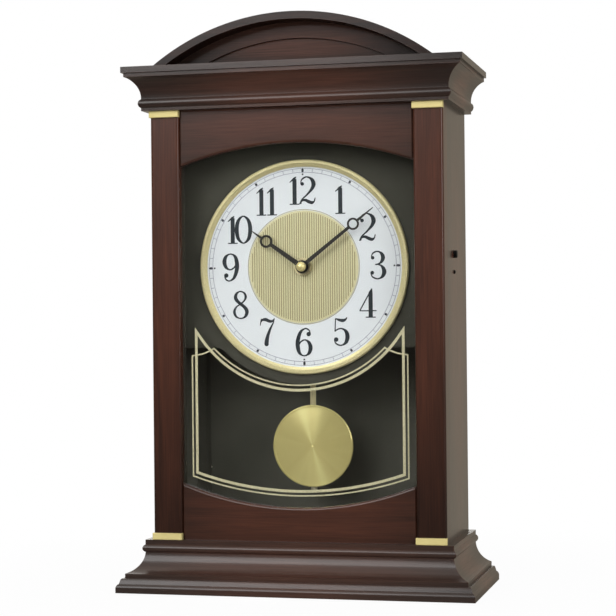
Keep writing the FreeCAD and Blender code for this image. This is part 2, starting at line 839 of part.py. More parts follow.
dial_ring = body("dial_ring", ZERO, ZERO, dial_z)
crest = board_front - s.ring_rise
turn(dial_ring, "dial_ring_section", [
    (ring_inner, plate_front),
    (ring_inner, plate_front - s.ring_lip),
    (ring_inner + s.ring_slope, crest + s.ring_bevel),
    (ring_inner + s.ring_slope + s.ring_bevel, crest),
    (ring_outer - s.ring_bevel, crest),
    (ring_outer, crest + s.ring_bevel),
    (ring_outer, board_front),
    (ring_inner + s.ring_seat, board_front),
    (ring_inner + s.ring_seat, plate_front),
])
keep(dial_ring)


# Motion work: bush, hour wheel with its pipe, minute arbor, and the minute wheel between them.

case_front = board_back
case_inside = case_front + s.movement_wall
gear_line = s.gear_module * (s.cannon_teeth + s.minute_teeth) / 2
fine_module = gear_line * 2 / (s.pinion_teeth + s.hour_teeth)
wheel_z = dial_z + gear_line
hour_gear_y = case_inside + s.bush_flange + s.gear_slack
minute_gear_y = hour_gear_y + s.gear_width + s.gear_spacing
hour_hand_back = plate_front - s.hour_hand_lift
minute_hand_back = hour_hand_back - s.hand_spacing
plate_y = minute_gear_y + s.cannon_width + s.plate_gap
plate_end = plate_y + s.gear_plate_thickness
cell_y = case_inside + s.cell_radius + s.fit_gap
cover_y = cell_y + s.cell_radius + s.cell_lid_gap
cover_end = cover_y + s.cover_thickness

centre_bush = body("centre_bush", ZERO, ZERO, dial_z)
bush_bore = s.hour_pipe_radius + s.running_gap
bush_front = plate_front - s.bush_reach
turn(centre_bush, "centre_bush_section", [
    (bush_bore, bush_front),
    (s.bush_radius, bush_front),
    (s.bush_radius, case_inside),
    (s.bush_flange_radius, case_inside),
    (s.bush_flange_radius, case_inside + s.bush_flange),
    (bush_bore, case_inside + s.bush_flange),
])
keep(centre_bush)

bush_nut = body("bush_nut", ZERO, ZERO, dial_z)
pad(
    bush_nut,
    "bush_nut_ring",
    "XZ_Plane",
    disc_front - s.bush_nut_height,
    s.bush_nut_height,
    [circle(ZERO, ZERO, s.bush_nut_radius), circle(ZERO, ZERO, s.bush_radius)],
)
keep(bush_nut)


def toothed(item, name, start, width, teeth, module, phase, bore=None):
    """Adds a spur wheel: a disc at the root circle and one tooth, repeated round the axis."""
    pitch = module * teeth / 2
    root_circle = pitch - module * dedendum_share
    tip_circle = pitch + module * addendum_share
    disc = [circle(ZERO, ZERO, root_circle)]
    if bore is not None:
        disc.append(circle(ZERO, ZERO, bore))
    pad(item, name + "_disc", "XZ_Plane", start, width, disc)
    step = as_size(360) / teeth
    rows = (
        (root_circle - module / 4, tooth_root_share),
        (pitch, tooth_pitch_share),
        (tip_circle, tooth_tip_share),
    )
    sides = []
    for side in (-1, 1):
        ends = [(radius, phase + step * (side * share)) for radius, share in rows]
        points = [(radius * sine(angle), radius * cosine(angle)) for radius, angle in ends]
        sides.append(points if side < 0 else points[::-1])
    tooth = pad(item, name + "_tooth", "XZ_Plane", start, width, [sides[0] + sides[1]])
    pattern = item.newObject("PartDesign::PolarPattern", name + "_teeth")
    pattern.Originals = [tooth]
    pattern.Axis = (datum(item, "Y_Axis"), [""])
    pattern.Angle = 360
    bind(pattern, "Occurrences", teeth)
    item.Tip = pattern
    return pattern


hour_wheel = body("hour_wheel", ZERO, ZERO, dial_z)
pipe_bore = s.minute_shaft_radius + s.running_gap
pipe_front = hour_hand_back - s.hand_thickness + s.gear_slack
pad(
    hour_wheel,
    "hour_wheel_pipe",
    "XZ_Plane",
    pipe_front,
    hour_gear_y - pipe_front,
    [circle(ZERO, ZERO, s.hour_pipe_radius), circle(ZERO, ZERO, pipe_bore)],
)
toothed(hour_wheel, "hour_gear", hour_gear_y, s.gear_width, s.hour_teeth, fine_module, ZERO, pipe_bore)
keep(hour_wheel)

minute_arbor = body("minute_arbor", ZERO, ZERO, dial_z)
arbor_front = minute_hand_back - s.hand_thickness - s.minute_thread
shaft_end = plate_y - s.running_gap
turn(minute_arbor, "minute_arbor_shaft", [
    (ZERO, arbor_front),
    (s.minute_shaft_radius, arbor_front),
    (s.minute_shaft_radius, shaft_end),
    (s.pivot_radius, shaft_end),
    (s.pivot_radius, plate_end),
    (ZERO, plate_end),
])
toothed(minute_arbor, "cannon_gear", minute_gear_y, s.cannon_width, s.cannon_teeth, s.gear_module, ZERO)
keep(minute_arbor)

minute_wheel = body("minute_wheel", ZERO, ZERO, wheel_z)
knob_start = cover_end + s.knob_gap
wheel_front = case_inside - s.movement_wall / 2
turn(minute_wheel, "minute_wheel_shaft", [
    (ZERO, wheel_front),
    (s.pivot_radius, wheel_front),
    (s.pivot_radius, knob_start + s.setting_knob_height / 2),
    (ZERO, knob_start + s.setting_knob_height / 2),
])
pinion_y = hour_gear_y - (s.pinion_width - s.gear_width) / 2
half_step = as_size(180)
toothed(
    minute_wheel, "pinion_gear", pinion_y, s.pinion_width, s.pinion_teeth, fine_module,
    half_step / s.pinion_teeth,
)
minute_wheel_y = minute_gear_y + (s.cannon_width - s.gear_width) / 2
toothed(
    minute_wheel, "minute_gear", minute_wheel_y, s.gear_width, s.minute_teeth, s.gear_module,
    half_step / s.minute_teeth,
)
keep(minute_wheel)

setting_knob = body("setting_knob", ZERO, ZERO, wheel_z)
knob_end = knob_start + s.setting_knob_height
turn(setting_knob, "setting_knob_section", [
    (s.pivot_radius, knob_start),
    (s.setting_knob_radius - s.knob_round, knob_start),
    (s.setting_knob_radius, knob_start + s.knob_round),
    (s.setting_knob_radius, knob_end - s.knob_round),
    (s.setting_knob_radius - s.knob_round, knob_end),
    (ZERO, knob_end),
    (ZERO, knob_start + s.setting_knob_height / 2),
    (s.pivot_radius, knob_start + s.setting_knob_height / 2),
])
keep(setting_knob)


# Hands: a tapered blade, an open ring and a fine pointer, on a collet.


def hand(name, hand_back, sizes, angle):
    """One hand with an open ring, standing at its angle from twelve."""
    length, ring_place, ring_outer, ring_inner, root_width, neck_width, hub, bore = sizes
    item = body(name, ZERO, ZERO, dial_z)
    item.Placement = FreeCAD.Placement(
        item.Placement.Base, FreeCAD.Rotation(FreeCAD.Vector(0, 1, 0), angle.value)
    )
    place(item, ZERO, ZERO, dial_z)
    start = hand_back - s.hand_thickness
    mean = (ring_outer + ring_inner) / 2
    pad(item, name + "_hub", "XZ_Plane", start, s.hand_thickness, [circle(ZERO, ZERO, hub)])
    blade = [
        (-root_width / 2, ZERO),
        (-neck_width / 2, ring_place - mean),
        (neck_width / 2, ring_place - mean),
        (root_width / 2, ZERO),
    ]
    pad(item, name + "_blade", "XZ_Plane", start, s.hand_thickness, [blade])
    pointer = [
        (-s.pointer_width / 2, ring_place + mean),
        (-s.hand_tip_width / 2, length),
        (s.hand_tip_width / 2, length),
        (s.pointer_width / 2, ring_place + mean),
    ]
    pad(
        item,
        name + "_ring",
        "XZ_Plane",
        start,
        s.hand_thickness,
        [circle(ZERO, ring_place, ring_outer), circle(ZERO, ring_place, ring_inner)],
    )
    pad(item, name + "_pointer", "XZ_Plane", start, s.hand_thickness, [pointer])
    collet = s.hand_thickness + s.collet_length
    pad(item, name + "_collet", "XZ_Plane", start, collet, [circle(ZERO, ZERO, bore + s.collet_wall)])
    pocket(
        item,
        name + "_bore",
        "XZ_Plane",
        start - s.overrun,
        collet + s.overrun * 2,
        [circle(ZERO, ZERO, bore)],
    )
    return keep(item)


minute_length = ring_inner - s.minute_tip_gap
hour_length = minute_length * hour_hand_share
minute_sizes = (
    minute_length, minute_length * minute_ring_share, s.minute_ring_outer, s.minute_ring_inner,
    s.minute_root_width, s.minute_neck_width, s.minute_hub_radius, s.minute_shaft_radius,
)
hour_sizes = (
    hour_length, hour_length * hour_ring_share, s.hour_ring_outer, s.hour_ring_inner,
    s.hour_root_width, s.hour_neck_width, s.hour_hub_radius, s.hour_pipe_radius,
)
hand("hour_hand", hour_hand_back, hour_sizes, s.hour_hand_angle)
hand("minute_hand", minute_hand_back, minute_sizes, s.minute_hand_angle)

hand_nut = body("hand_nut", ZERO, ZERO, dial_z)
nut_back = minute_hand_back - s.hand_thickness
nut_front = nut_back - s.hand_nut_height
nut_rim = nut_back - s.hand_nut_rim
nut_dome = s.hand_nut_height - s.hand_nut_rim
turn(hand_nut, "hand_nut_section", [
    (ZERO, nut_front),
    (s.hand_nut_radius, nut_rim, rise_radius(s.hand_nut_radius, nut_dome), -1),
    (s.hand_nut_radius, nut_back),
    (s.minute_shaft_radius, nut_back),
    (s.minute_shaft_radius, nut_back - s.hand_nut_bore),
    (ZERO, nut_back - s.hand_nut_bore),
])
keep(hand_nut)


# Quartz movement: housing with a gear bay and a battery bay, plate, cover and what they hold.

bay_low = pivot_z - s.movement_foot
spring_low = bay_low + s.movement_wall + s.contact_thickness
cell_low = spring_low + s.cell_spring
cell_top = cell_low + s.cell_length
bay_high = cell_top + s.cell_nub + s.contact_thickness + s.movement_wall
cell_pitch = s.cell_radius * 2 + s.cell_gap
battery_bay = cell_pitch + s.cell_radius * 2 + s.cell_side_gap * 2 + s.movement_wall
bay_left = -s.movement_half_width - battery_bay
gear_bay = (-s.movement_half_width + s.movement_wall, s.movement_half_width - s.movement_wall)
cell_bay = (bay_left + s.movement_wall, -s.movement_half_width)
bay_inner = (bay_low + s.movement_wall, bay_high - s.movement_wall)
posts = [
    (side * (s.movement_half_width - s.post_inset), height)
    for side in (-1, 1)
    for height in (bay_low + s.post_inset, bay_high - s.post_inset)
]

movement_case = body("movement_case")
shell = rectangle((bay_left, s.movement_half_width), (bay_low, bay_high))
pad(movement_case, "movement_case_block", "XZ_Plane", case_front, cover_y - case_front, [shell])
pocket(
    movement_case,
    "movement_case_bays",
    "XZ_Plane",
    case_inside,
    cover_y - case_front,
    [rectangle(gear_bay, bay_inner), rectangle(cell_bay, bay_inner)],
)
pad(
    movement_case,
    "movement_case_posts",
    "XZ_Plane",
    case_inside,
    plate_y - case_inside,
    [circle(x, z, s.post_radius) for x, z in posts],
)
pocket(
    movement_case,
    "movement_case_bearings",
    "XZ_Plane",
    case_front - s.overrun,
    s.overrun + s.movement_wall,
    [circle(ZERO, dial_z, bush_hole), circle(ZERO, wheel_z, s.pivot_radius + s.running_gap)],
)
lip_start = cover_y - s.battery_lip
groove_x = (bay_left - s.overrun, -s.movement_half_width)
pocket(
    movement_case,
    "movement_case_grooves",
    "XZ_Plane",
    lip_start - s.slide_gap,
    s.hook_width + s.slide_gap * 2,
    [
        rectangle(groove_x, (bay_high - s.groove_depth, bay_high + s.overrun)),
        rectangle(groove_x, (bay_low - s.overrun, bay_low + s.groove_depth)),
    ],
)
keep(movement_case)

gear_plate = body("movement_plate")
gap = s.fit_gap
plate_outline = rectangle(
    (gear_bay[0] + gap, gear_bay[1] - gap), (bay_inner[0] + gap, bay_inner[1] - gap)
)
bearing = s.pivot_radius + s.running_gap
pad(
    gear_plate,
    "movement_plate_sheet",
    "XZ_Plane",
    plate_y,
    s.gear_plate_thickness,
    [plate_outline, circle(ZERO, dial_z, bearing), circle(ZERO, wheel_z, bearing)],
)
keep(gear_plate)

# One coil drives the train, the other one kicks the pendulum from behind the cover.
coils = []
coil_end = cover_y - s.coil_gap
for name, x, z in (
    ("pendulum_coil", ZERO, pivot_z),
    ("motor_coil", -s.motor_coil_offset, dial_z - s.motor_coil_drop),
):
    coil = body(name, x, ZERO, z)
    turn(coil, name + "_section", [
        (ZERO, plate_end),
        (s.coil_radius, plate_end),
        (s.coil_radius, plate_end + s.coil_flange),
        (s.coil_radius - s.coil_flange, plate_end + s.coil_flange),
        (s.coil_radius - s.coil_flange, coil_end - s.coil_flange),
        (s.coil_radius, coil_end - s.coil_flange),
        (s.coil_radius, coil_end),
        (s.coil_core_radius, coil_end),
        (s.coil_core_radius, coil_end + s.coil_flange),
        (ZERO, coil_end + s.coil_flange),
    ])
    coils.append(coil)
keep(group("drive_coils", coils))

volume_x = s.volume_offset
volume_z = dial_z + s.volume_rise
hanger_y = cover_end + s.pivot_boss + s.hanger_gap
snap_y = hanger_y + s.hanger_thickness + s.hanger_gap
cover = body("movement_cover")
cover_outline = rectangle((-s.movement_half_width, s.movement_half_width), (bay_low, bay_high))
pad(
    cover,
    "movement_cover_sheet",
    "XZ_Plane",
    cover_y,
    s.cover_thickness,
    [
        cover_outline,
        circle(ZERO, wheel_z, bearing),
        circle(volume_x, volume_z, s.volume_shaft_radius + s.running_gap),
    ],
)
boss = [circle(ZERO, pivot_z, s.pivot_boss_radius)]
pad(cover, "movement_cover_boss", "XZ_Plane", cover_end, s.pivot_boss, boss)
pad(
    cover,
    "movement_cover_pivot",
    "XZ_Plane",
    cover_end,
    snap_y + s.snap_head - cover_end,
    [circle(ZERO, pivot_z, s.pivot_radius)],
)
head = [circle(ZERO, pivot_z, s.snap_radius)]
pad(cover, "movement_cover_snap", "XZ_Plane", snap_y, s.snap_head, head)
slit = rectangle(
    (-s.snap_radius * 2, s.snap_radius * 2), (pivot_z - s.snap_slit / 2, pivot_z + s.snap_slit / 2)
)
pocket(cover, "movement_cover_slit", "XZ_Plane", hanger_y, snap_y + s.overrun - hanger_y, [slit])
keep(cover)

volume_knob = body("volume_knob", volume_x, ZERO, volume_z)
volume_start = cover_end + s.knob_gap
volume_end = volume_start + s.volume_knob_height
flange_back = cover_y - s.running_gap
turn(volume_knob, "volume_knob_section", [
    (ZERO, flange_back - s.volume_flange),
    (s.volume_flange_radius, flange_back - s.volume_flange),
    (s.volume_flange_radius, flange_back),
    (s.volume_shaft_radius, flange_back),
    (s.volume_shaft_radius, volume_start),
    (s.volume_knob_radius, volume_start),
    (s.volume_knob_radius, volume_end - s.knob_round),
    (s.volume_knob_radius - s.knob_round, volume_end),
    (ZERO, volume_end),
])
keep(volume_knob)

# Two cells stand side by side, each on its spring, and the cover slides off sideways.
cell_middle = (cell_bay[0] + cell_bay[1]) / 2
cells = []
contacts = []
for index, side in enumerate((-1, 1), start=1):
    x = cell_middle + side * cell_pitch / 2
    can = bar("cell_can_%d" % index, "Z", s.cell_radius, (x, cell_y, cell_low), s.cell_length)
    nub = bar("cell_nub_%d" % index, "Z", s.cell_nub_radius, (x, cell_y, cell_top), s.cell_nub)
    cells.append(fuse("cell_%d" % index, [can, nub]))
    x_span = (x - s.contact_width / 2, x + s.contact_width / 2)
    y_span = (cell_y - s.contact_width / 2, cell_y + s.contact_width / 2)
    top_span = (bay_inner[1] - s.contact_thickness, bay_inner[1])
    contacts.append(box("cell_contact_%d" % index, x_span, y_span, top_span))
    foot = box("spring_foot_%d" % index, x_span, y_span, (bay_inner[0], spring_low))
    cone = bar(
        "spring_cone_%d" % index,
        "Z",
        s.spring_large,
        (x, cell_y, spring_low),
        s.cell_spring,
        s.spring_small,
    )
    contacts.append(fuse("cell_spring_%d" % index, [foot, cone]))
keep(group("battery_cells", cells))
keep(group("battery_contacts", contacts))

battery_cover = body("battery_cover")
lid_y = cover_y + s.running_gap
lid_right = -s.movement_half_width - s.fit_gap
lips = [
    rectangle((bay_left, lid_right), (bay_high + s.fit_gap, bay_high + s.fit_gap + s.lip_wall)),
    rectangle((bay_left, lid_right), (bay_low - s.fit_gap - s.lip_wall, bay_low - s.fit_gap)),
]
lid = rectangle(
    (bay_left, lid_right),
    (bay_low - s.fit_gap - s.lip_wall, bay_high + s.fit_gap + s.lip_wall),
)
pad(battery_cover, "battery_cover_sheet", "XZ_Plane", lid_y, s.cover_thickness, [lid])
pad(battery_cover, "battery_cover_lips", "XZ_Plane", lip_start, lid_y - lip_start, lips)
hooks = [
    rectangle((bay_left, lid_right), (bay_high - s.hook_reach, bay_high + s.fit_gap)),
    rectangle((bay_left, lid_right), (bay_low - s.fit_gap, bay_low + s.hook_reach)),
]
pad(battery_cover, "battery_cover_hooks", "XZ_Plane", lip_start, s.hook_width, hooks)
keep(battery_cover)


# Pendulum: hanger on the movement's pivot, flat rod, domed bob and the nut below it.

hanger = body("pendulum_hanger", ZERO, ZERO, pivot_z)
eye = [circle(ZERO, ZERO, s.hanger_eye)]
pad(hanger, "pendulum_hanger_eye", "XZ_Plane", hanger_y, s.hanger_thickness, eye)
strip = rectangle((-s.hanger_width / 2, s.hanger_width / 2), (-s.hanger_length, ZERO))
pad(hanger, "pendulum_hanger_strip", "XZ_Plane", hanger_y, s.hanger_thickness, [strip])
pocket(
    hanger,
    "pendulum_hanger_bore",
    "XZ_Plane",
    hanger_y - s.overrun,
    s.hanger_thickness + s.overrun * 2,
    [circle(ZERO, ZERO, s.pivot_radius + s.running_gap)],
)
keep(hanger)

bob_low = deck + s.bob_clearance
bob_z = bob_low + s.bob_radius
rod_y = hanger_y + s.hanger_thickness
rod = body("pendulum_rod", ZERO, ZERO, ZERO)
strip = rectangle((-s.rod_width / 2, s.rod_width / 2), (bob_low, pivot_z - s.rod_top_drop))
pad(rod, "pendulum_rod_strip", "XZ_Plane", rod_y, s.rod_thickness, [strip])
stud_y = rod_y + s.stud_radius
pad(
    rod,
    "pendulum_rod_stud",
    "XY_Plane",
    bob_low - s.stud_length,
    s.stud_length + s.stud_radius,
    [circle(ZERO, stud_y, s.stud_radius)],
)
keep(rod)

bob = body("pendulum_bob", ZERO, ZERO, bob_z)
dome_edge = s.bob_radius - s.bob_lip_width
rim_front = rod_y - s.bob_rim
turn(bob, "pendulum_bob_lens", [
    (ZERO, rim_front - s.bob_dome),
    (dome_edge, rim_front, rise_radius(dome_edge, s.bob_dome), -1),
    (dome_edge, rim_front - s.bob_lip),
    (s.bob_radius - s.bob_lip_width / 2, rim_front - s.bob_lip),
    (s.bob_radius, rim_front),
    (s.bob_radius, rod_y),
    (ZERO, rod_y),
])
keep(bob)

nut_blank = bar(
    "rating_nut_blank",
    "Z",
    s.rating_nut_radius,
    (ZERO, stud_y, bob_low - s.fit_gap - s.rating_nut_height),
    s.rating_nut_height,
)
nut_bore = bar(
    "rating_nut_bore",
    "Z",
    s.stud_radius,
    (ZERO, stud_y, bob_low - s.overrun * 2),
    s.overrun * 2,
)
keep(cut("rating_nut", nut_blank, [nut_bore]))


# Back: fixed panel with sound holes over the speaker, and the hinged door below it.

speaker_z = (panel_bottom + ceiling) / 2
holes = [circle(ZERO, speaker_z, s.grille_hole_radius)]
for ring_number in (1, 2):
    for index in range(6 * ring_number):
        turn_angle = math.tau * index / (6 * ring_number)
        reach = s.grille_pitch * ring_number
        x = reach * math.cos(turn_angle)
        z = speaker_z + reach * math.sin(turn_angle)
        holes.append(circle(x, z, s.grille_hole_radius))
screw_places = [(side * screw_x, height) for side in (-1, 1) for height in screw_heights]
holes += [circle(x, z, s.screw_radius + s.running_gap) for x, z in screw_places]
panel = body("back_panel")
panel_half = inner - s.fit_gap
outline = rectangle((-panel_half, panel_half), (panel_bottom, ceiling - s.fit_gap))
pad(panel, "back_panel_sheet", "XZ_Plane", rear_seat, s.panel_thickness, [outline] + holes)
keep(panel)

speaker = body("speaker", ZERO, ZERO, speaker_z)
speaker_front = rear_seat - s.speaker_depth
frame_y = rear_seat - s.speaker_flange
turn(speaker, "speaker_section", [
    (ZERO, speaker_front),
    (s.speaker_magnet_radius, speaker_front),
    (s.speaker_magnet_radius, speaker_front + s.speaker_magnet_depth),
    (s.speaker_radius - s.speaker_flange_width, frame_y),
    (s.speaker_radius, frame_y),
    (s.speaker_radius, rear_seat),
    (s.speaker_radius - s.speaker_flange_width, rear_seat),
    (s.speaker_cap_radius, rear_seat - s.speaker_cone_depth),
    (ZERO, rear_seat - s.speaker_cone_depth + s.speaker_flange),
])
keep(speaker)

# Butt hinges: the barrel's axis lies behind the door, at the left edge seen from the front.
hinge_x = -inner + s.hinge_barrel_radius
door_front = rear_seat + s.door_rest
door_back = door_front + s.panel_thickness
hinge_y = back - s.hinge_barrel_radius - s.running_gap
door_left = -inner + s.door_hinge_gap
door_right = inner - s.door_gap
door_low = deck + s.door_gap
door_high = panel_bottom - s.door_gap
hinge_heights = (door_low + s.hinge_inset, door_high - s.hinge_inset)
knob_x = door_right - s.knob_inset
knob_z = (door_low + door_high) / 2
knuckle = (s.hinge_length - s.hinge_axial_gap * 2) / 3
leaf_screw_x = hinge_x + s.hinge_leaf_width / 2
pin_bore = s.hinge_pin_radius + s.running_gap

case_leaves = []
door_leaves = []
pins = []
screw_holes = []
door_screws = []
for index, height in enumerate(hinge_heights, start=1):
    low = height - s.hinge_length / 2
    high = height + s.hinge_length / 2
    centre = (hinge_x, hinge_y)
    plate = box(
        "case_leaf_plate_%d" % index,
        (-inner, -inner + s.hinge_leaf),
        (hinge_y - s.hinge_case_leaf_width, hinge_y),
        (low, high),
    )
    blank = bar("case_barrel_%d" % index, "Z", s.hinge_barrel_radius, centre + (low,), s.hinge_length)
    middle_low = low + knuckle
    middle = s.hinge_length - knuckle * 2
    leaf_end = hinge_y - s.hinge_case_leaf_width - s.overrun
    gap_box = box(
        "case_leaf_slot_%d" % index,
        (-inner - s.overrun, hinge_x + s.overrun),
        (hinge_y - s.hinge_barrel_radius - s.fit_gap, hinge_y + s.overrun),
        (middle_low, middle_low + middle),
    )
    hole = bar(
        "case_leaf_bore_%d" % index,
        "Z",
        s.hinge_pin_radius,
        centre + (low - s.overrun,),
        s.hinge_length + s.overrun * 2,
    )
    whole = fuse("case_leaf_blank_%d" % index, [plate, blank])
    case_leaves.append(cut("case_leaf_%d" % index, whole, [gap_box, hole]))

    leaf_low = middle_low + s.hinge_axial_gap
    flap = box(
        "door_leaf_plate_%d" % index,
        (hinge_x, hinge_x + s.hinge_leaf_width),
        (door_back, door_back + s.hinge_leaf),
        (leaf_low, leaf_low + knuckle),
    )
    wing = box(
        "door_leaf_wing_%d" % index,
        (hinge_x + s.hinge_barrel_radius + s.fit_gap, hinge_x + s.hinge_leaf_width),
        (door_back, door_back + s.hinge_leaf),
        (low, high),
    )
    barrel = bar("door_barrel_%d" % index, "Z", s.hinge_barrel_radius, centre + (leaf_low,), knuckle)
    bore = bar(
        "door_leaf_bore_%d" % index,
        "Z",
        pin_bore,
        centre + (low - s.overrun,),
        s.hinge_length + s.overrun * 2,
    )
    leaf_holes = [bore]
    for side in (-1, 1):
        spot = (leaf_screw_x, height + side * s.pin_screw_spacing)
        tag = "%d_%d" % (index, side + 2)
        leaf_holes.append(bar(
            "door_leaf_hole_" + tag,
            "Y",
            s.pin_screw_radius + s.running_gap,
            (spot[0], door_back - s.overrun, spot[1]),
            s.overrun * 2,
        ))
        screw_holes.append(circle(spot[0], spot[1], s.pin_screw_radius + s.running_gap))
        shank = bar(
            "door_screw_shank_" + tag,
            "Y",
            s.pin_screw_radius,
            (spot[0], door_back + s.hinge_leaf - s.pin_screw_length, spot[1]),
            s.pin_screw_length,
        )
        head = bar(
            "door_screw_head_" + tag,
            "Y",
            s.pin_screw_head_radius,
            (spot[0], door_back + s.hinge_leaf, spot[1]),
            s.pin_screw_head,
        )
        door_screws.append(fuse("door_screw_" + tag, [shank, head]))
    whole = fuse("door_leaf_blank_%d" % index, [flap, wing, barrel])
    door_leaves.append(cut("door_leaf_%d" % index, whole, leaf_holes))
    pins.append(bar("hinge_pin_%d" % index, "Z", s.hinge_pin_radius, centre + (low,), s.hinge_length))
keep(group("hinge_case_leaves", case_leaves))
keep(group("hinge_door_leaves", door_leaves))
keep(group("hinge_pins", pins))
keep(group("hinge_screws", door_screws))

door = body("back_door")
outline = rectangle((door_left, door_right), (door_low, door_high))
knob_hole = circle(knob_x, knob_z, s.door_knob_shank)
pad(
    door,
    "back_door_sheet",
    "XZ_Plane",
    door_front,
    s.panel_thickness,
    [outline, knob_hole] + screw_holes,
)
keep(door)

door_knob = body("door_knob", knob_x, ZERO, knob_z)
knob_back = door_back + s.door_knob_height
turn(door_knob, "door_knob_section", [
    (ZERO, door_front + s.running_gap),
    (s.door_knob_shank, door_front + s.running_gap),
    (s.door_knob_shank, door_back),
    (s.door_knob_neck, door_back),
    (s.door_knob_neck, door_back + s.door_knob_height / 4),
    (s.door_knob_radius, door_back + s.door_knob_height / 2),
    (s.door_knob_radius, knob_back - s.knob_round),
    (s.door_knob_radius - s.knob_round, knob_back),
    (ZERO, knob_back),
])
keep(door_knob)

magnet_right = inner - s.batten_width
keep(box(
    "door_magnet",
    (magnet_right - s.magnet_width, magnet_right),
    (rear_seat - s.magnet_depth, rear_seat),
    (knob_z - s.magnet_height / 2, knob_z + s.magnet_height / 2),
))

panel_screws = []
for index, (x, z) in enumerate(screw_places, start=1):
    start = panel_back - s.screw_length
    shank = bar("panel_screw_shank_%d" % index, "Y", s.screw_radius, (x, start, z), s.screw_length)
    head = bar(
        "panel_screw_head_%d" % index,
        "Y",
        s.screw_head_radius,
        (x, panel_back, z),
        s.screw_head,
        s.screw_head_radius - s.screw_head / 2,
    )
    panel_screws.append(fuse("panel_screw_%d" % index, [shank, head]))
keep(group("panel_screws", panel_screws))


# Right side: push button, the switch behind it, and the window of the light sensor.


def side_turned(name, outline, z):
    """A piece turned about an axis along X, at the button's depth."""
    item = body(name, ZERO, button_y, z)
    turn(item, name + "_section", outline, "X_Axis")
    return keep(item)


button_end = half + s.button_proud
button_root = inner - s.running_gap
side_turned("chime_button", [
    (button_root - s.button_flange, ZERO),
    (button_root - s.button_flange, s.button_flange_radius),
    (button_root, s.button_flange_radius),
    (button_root, s.button_radius),
    (button_end - s.button_round, s.button_radius),
    (button_end, s.button_radius - s.button_round),
    (button_end, ZERO),
], button_z)
lens_end = half - s.sensor_recess
side_turned("sensor_lens", [
    (inner - s.sensor_flange, ZERO),
    (inner - s.sensor_flange, s.sensor_flange_radius),
    (inner, s.sensor_flange_radius),
    (inner, s.sensor_radius),
    (lens_end, s.sensor_radius),
    (lens_end, ZERO),
], sensor_z)

switch_box = body("switch_housing")
housing_y = (button_y - s.housing_width / 2, button_y + s.housing_width / 2)
housing_z = (sensor_z - s.housing_margin, button_z + s.housing_margin)
wall = s.housing_wall
pad(
    switch_box,
    "switch_housing_block",
    "YZ_Plane",
    inner - s.housing_depth,
    s.housing_depth,
    [rectangle(housing_y, housing_z)],
)
pocket(
    switch_box,
    "switch_housing_room",
    "YZ_Plane",
    inner - s.housing_depth + wall,
    s.housing_depth,
    [rectangle((housing_y[0] + wall, housing_y[1] - wall), (housing_z[0] + wall, housing_z[1] - wall))],
)
switch_reach = s.housing_depth - wall - s.button_flange - s.button_travel - s.fit_gap
pad(
    switch_box,
    "switch_housing_stem",
    "YZ_Plane",
    inner - s.housing_depth + wall,
    switch_reach,
    [circle(button_y, button_z, s.switch_radius), circle(button_y, sensor_z, s.switch_radius)],
)
keep(switch_box)


# Every feature is tested before any file is written.

doc.recompute()
for item in doc.Objects:
    state = " ".join(item.State)
    if "Invalid" in state or "Error" in state:
        raise RuntimeError("%s failed: %s" % (item.Name, state))
for item in doc.Objects:
    if item.TypeId in ("PartDesign::Pocket", "PartDesign::Groove"):
        if item.Shape.Volume >= item.BaseFeature.Shape.Volume:
            raise RuntimeError("%s cuts nothing" % item.Name)
for item in nodes:
    if item.Shape.isNull() or not item.Shape.isValid():
        raise RuntimeError("%s has no valid shape" % item.Label)

os.makedirs("parts", exist_ok=True)
for item in nodes:
    item.Shape.exportStep("parts/%s.step" % item.Label)
print("%d nodes written" % len(nodes))
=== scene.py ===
"""A desk pendulum clock: the looks of every piece, from the feet up to the pediment and from the dial
to the back door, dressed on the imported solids."""
import math

import bmesh
import bpy
from mathutils import Matrix, Vector


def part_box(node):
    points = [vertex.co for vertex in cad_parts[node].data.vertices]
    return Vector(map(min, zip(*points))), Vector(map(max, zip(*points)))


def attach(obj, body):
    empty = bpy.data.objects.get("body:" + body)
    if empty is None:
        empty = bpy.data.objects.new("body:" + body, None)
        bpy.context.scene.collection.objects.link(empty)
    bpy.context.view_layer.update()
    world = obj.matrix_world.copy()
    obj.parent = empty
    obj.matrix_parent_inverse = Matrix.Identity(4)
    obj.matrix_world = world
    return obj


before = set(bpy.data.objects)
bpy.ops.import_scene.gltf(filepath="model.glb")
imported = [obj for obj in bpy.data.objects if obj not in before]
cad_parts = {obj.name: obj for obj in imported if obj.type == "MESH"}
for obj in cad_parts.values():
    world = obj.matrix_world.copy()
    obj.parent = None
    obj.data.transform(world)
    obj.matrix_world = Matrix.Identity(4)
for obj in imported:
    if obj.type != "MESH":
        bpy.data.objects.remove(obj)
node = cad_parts
bpy.context.view_layer.update()
mm = 0.001

# The place of the photograph: a long lens a little to the right of the clock, at half its height. It was
# fitted to the straight edges and the corners of the clock, and looks almost level.
camera_place = Vector((0.314037, -1.266025, 0.193299))
camera_bearing, camera_pitch, camera_roll = 0.24325, 0.004845, -0.0097395
camera_sensor, camera_lens = 36.0, 106.65


def stand(name, data):
    """Puts a mesh, a lamp or a camera in the scene, as an object of its own."""
    placed = bpy.data.objects.new(name, data)
    bpy.context.scene.collection.objects.link(placed)
    return placed


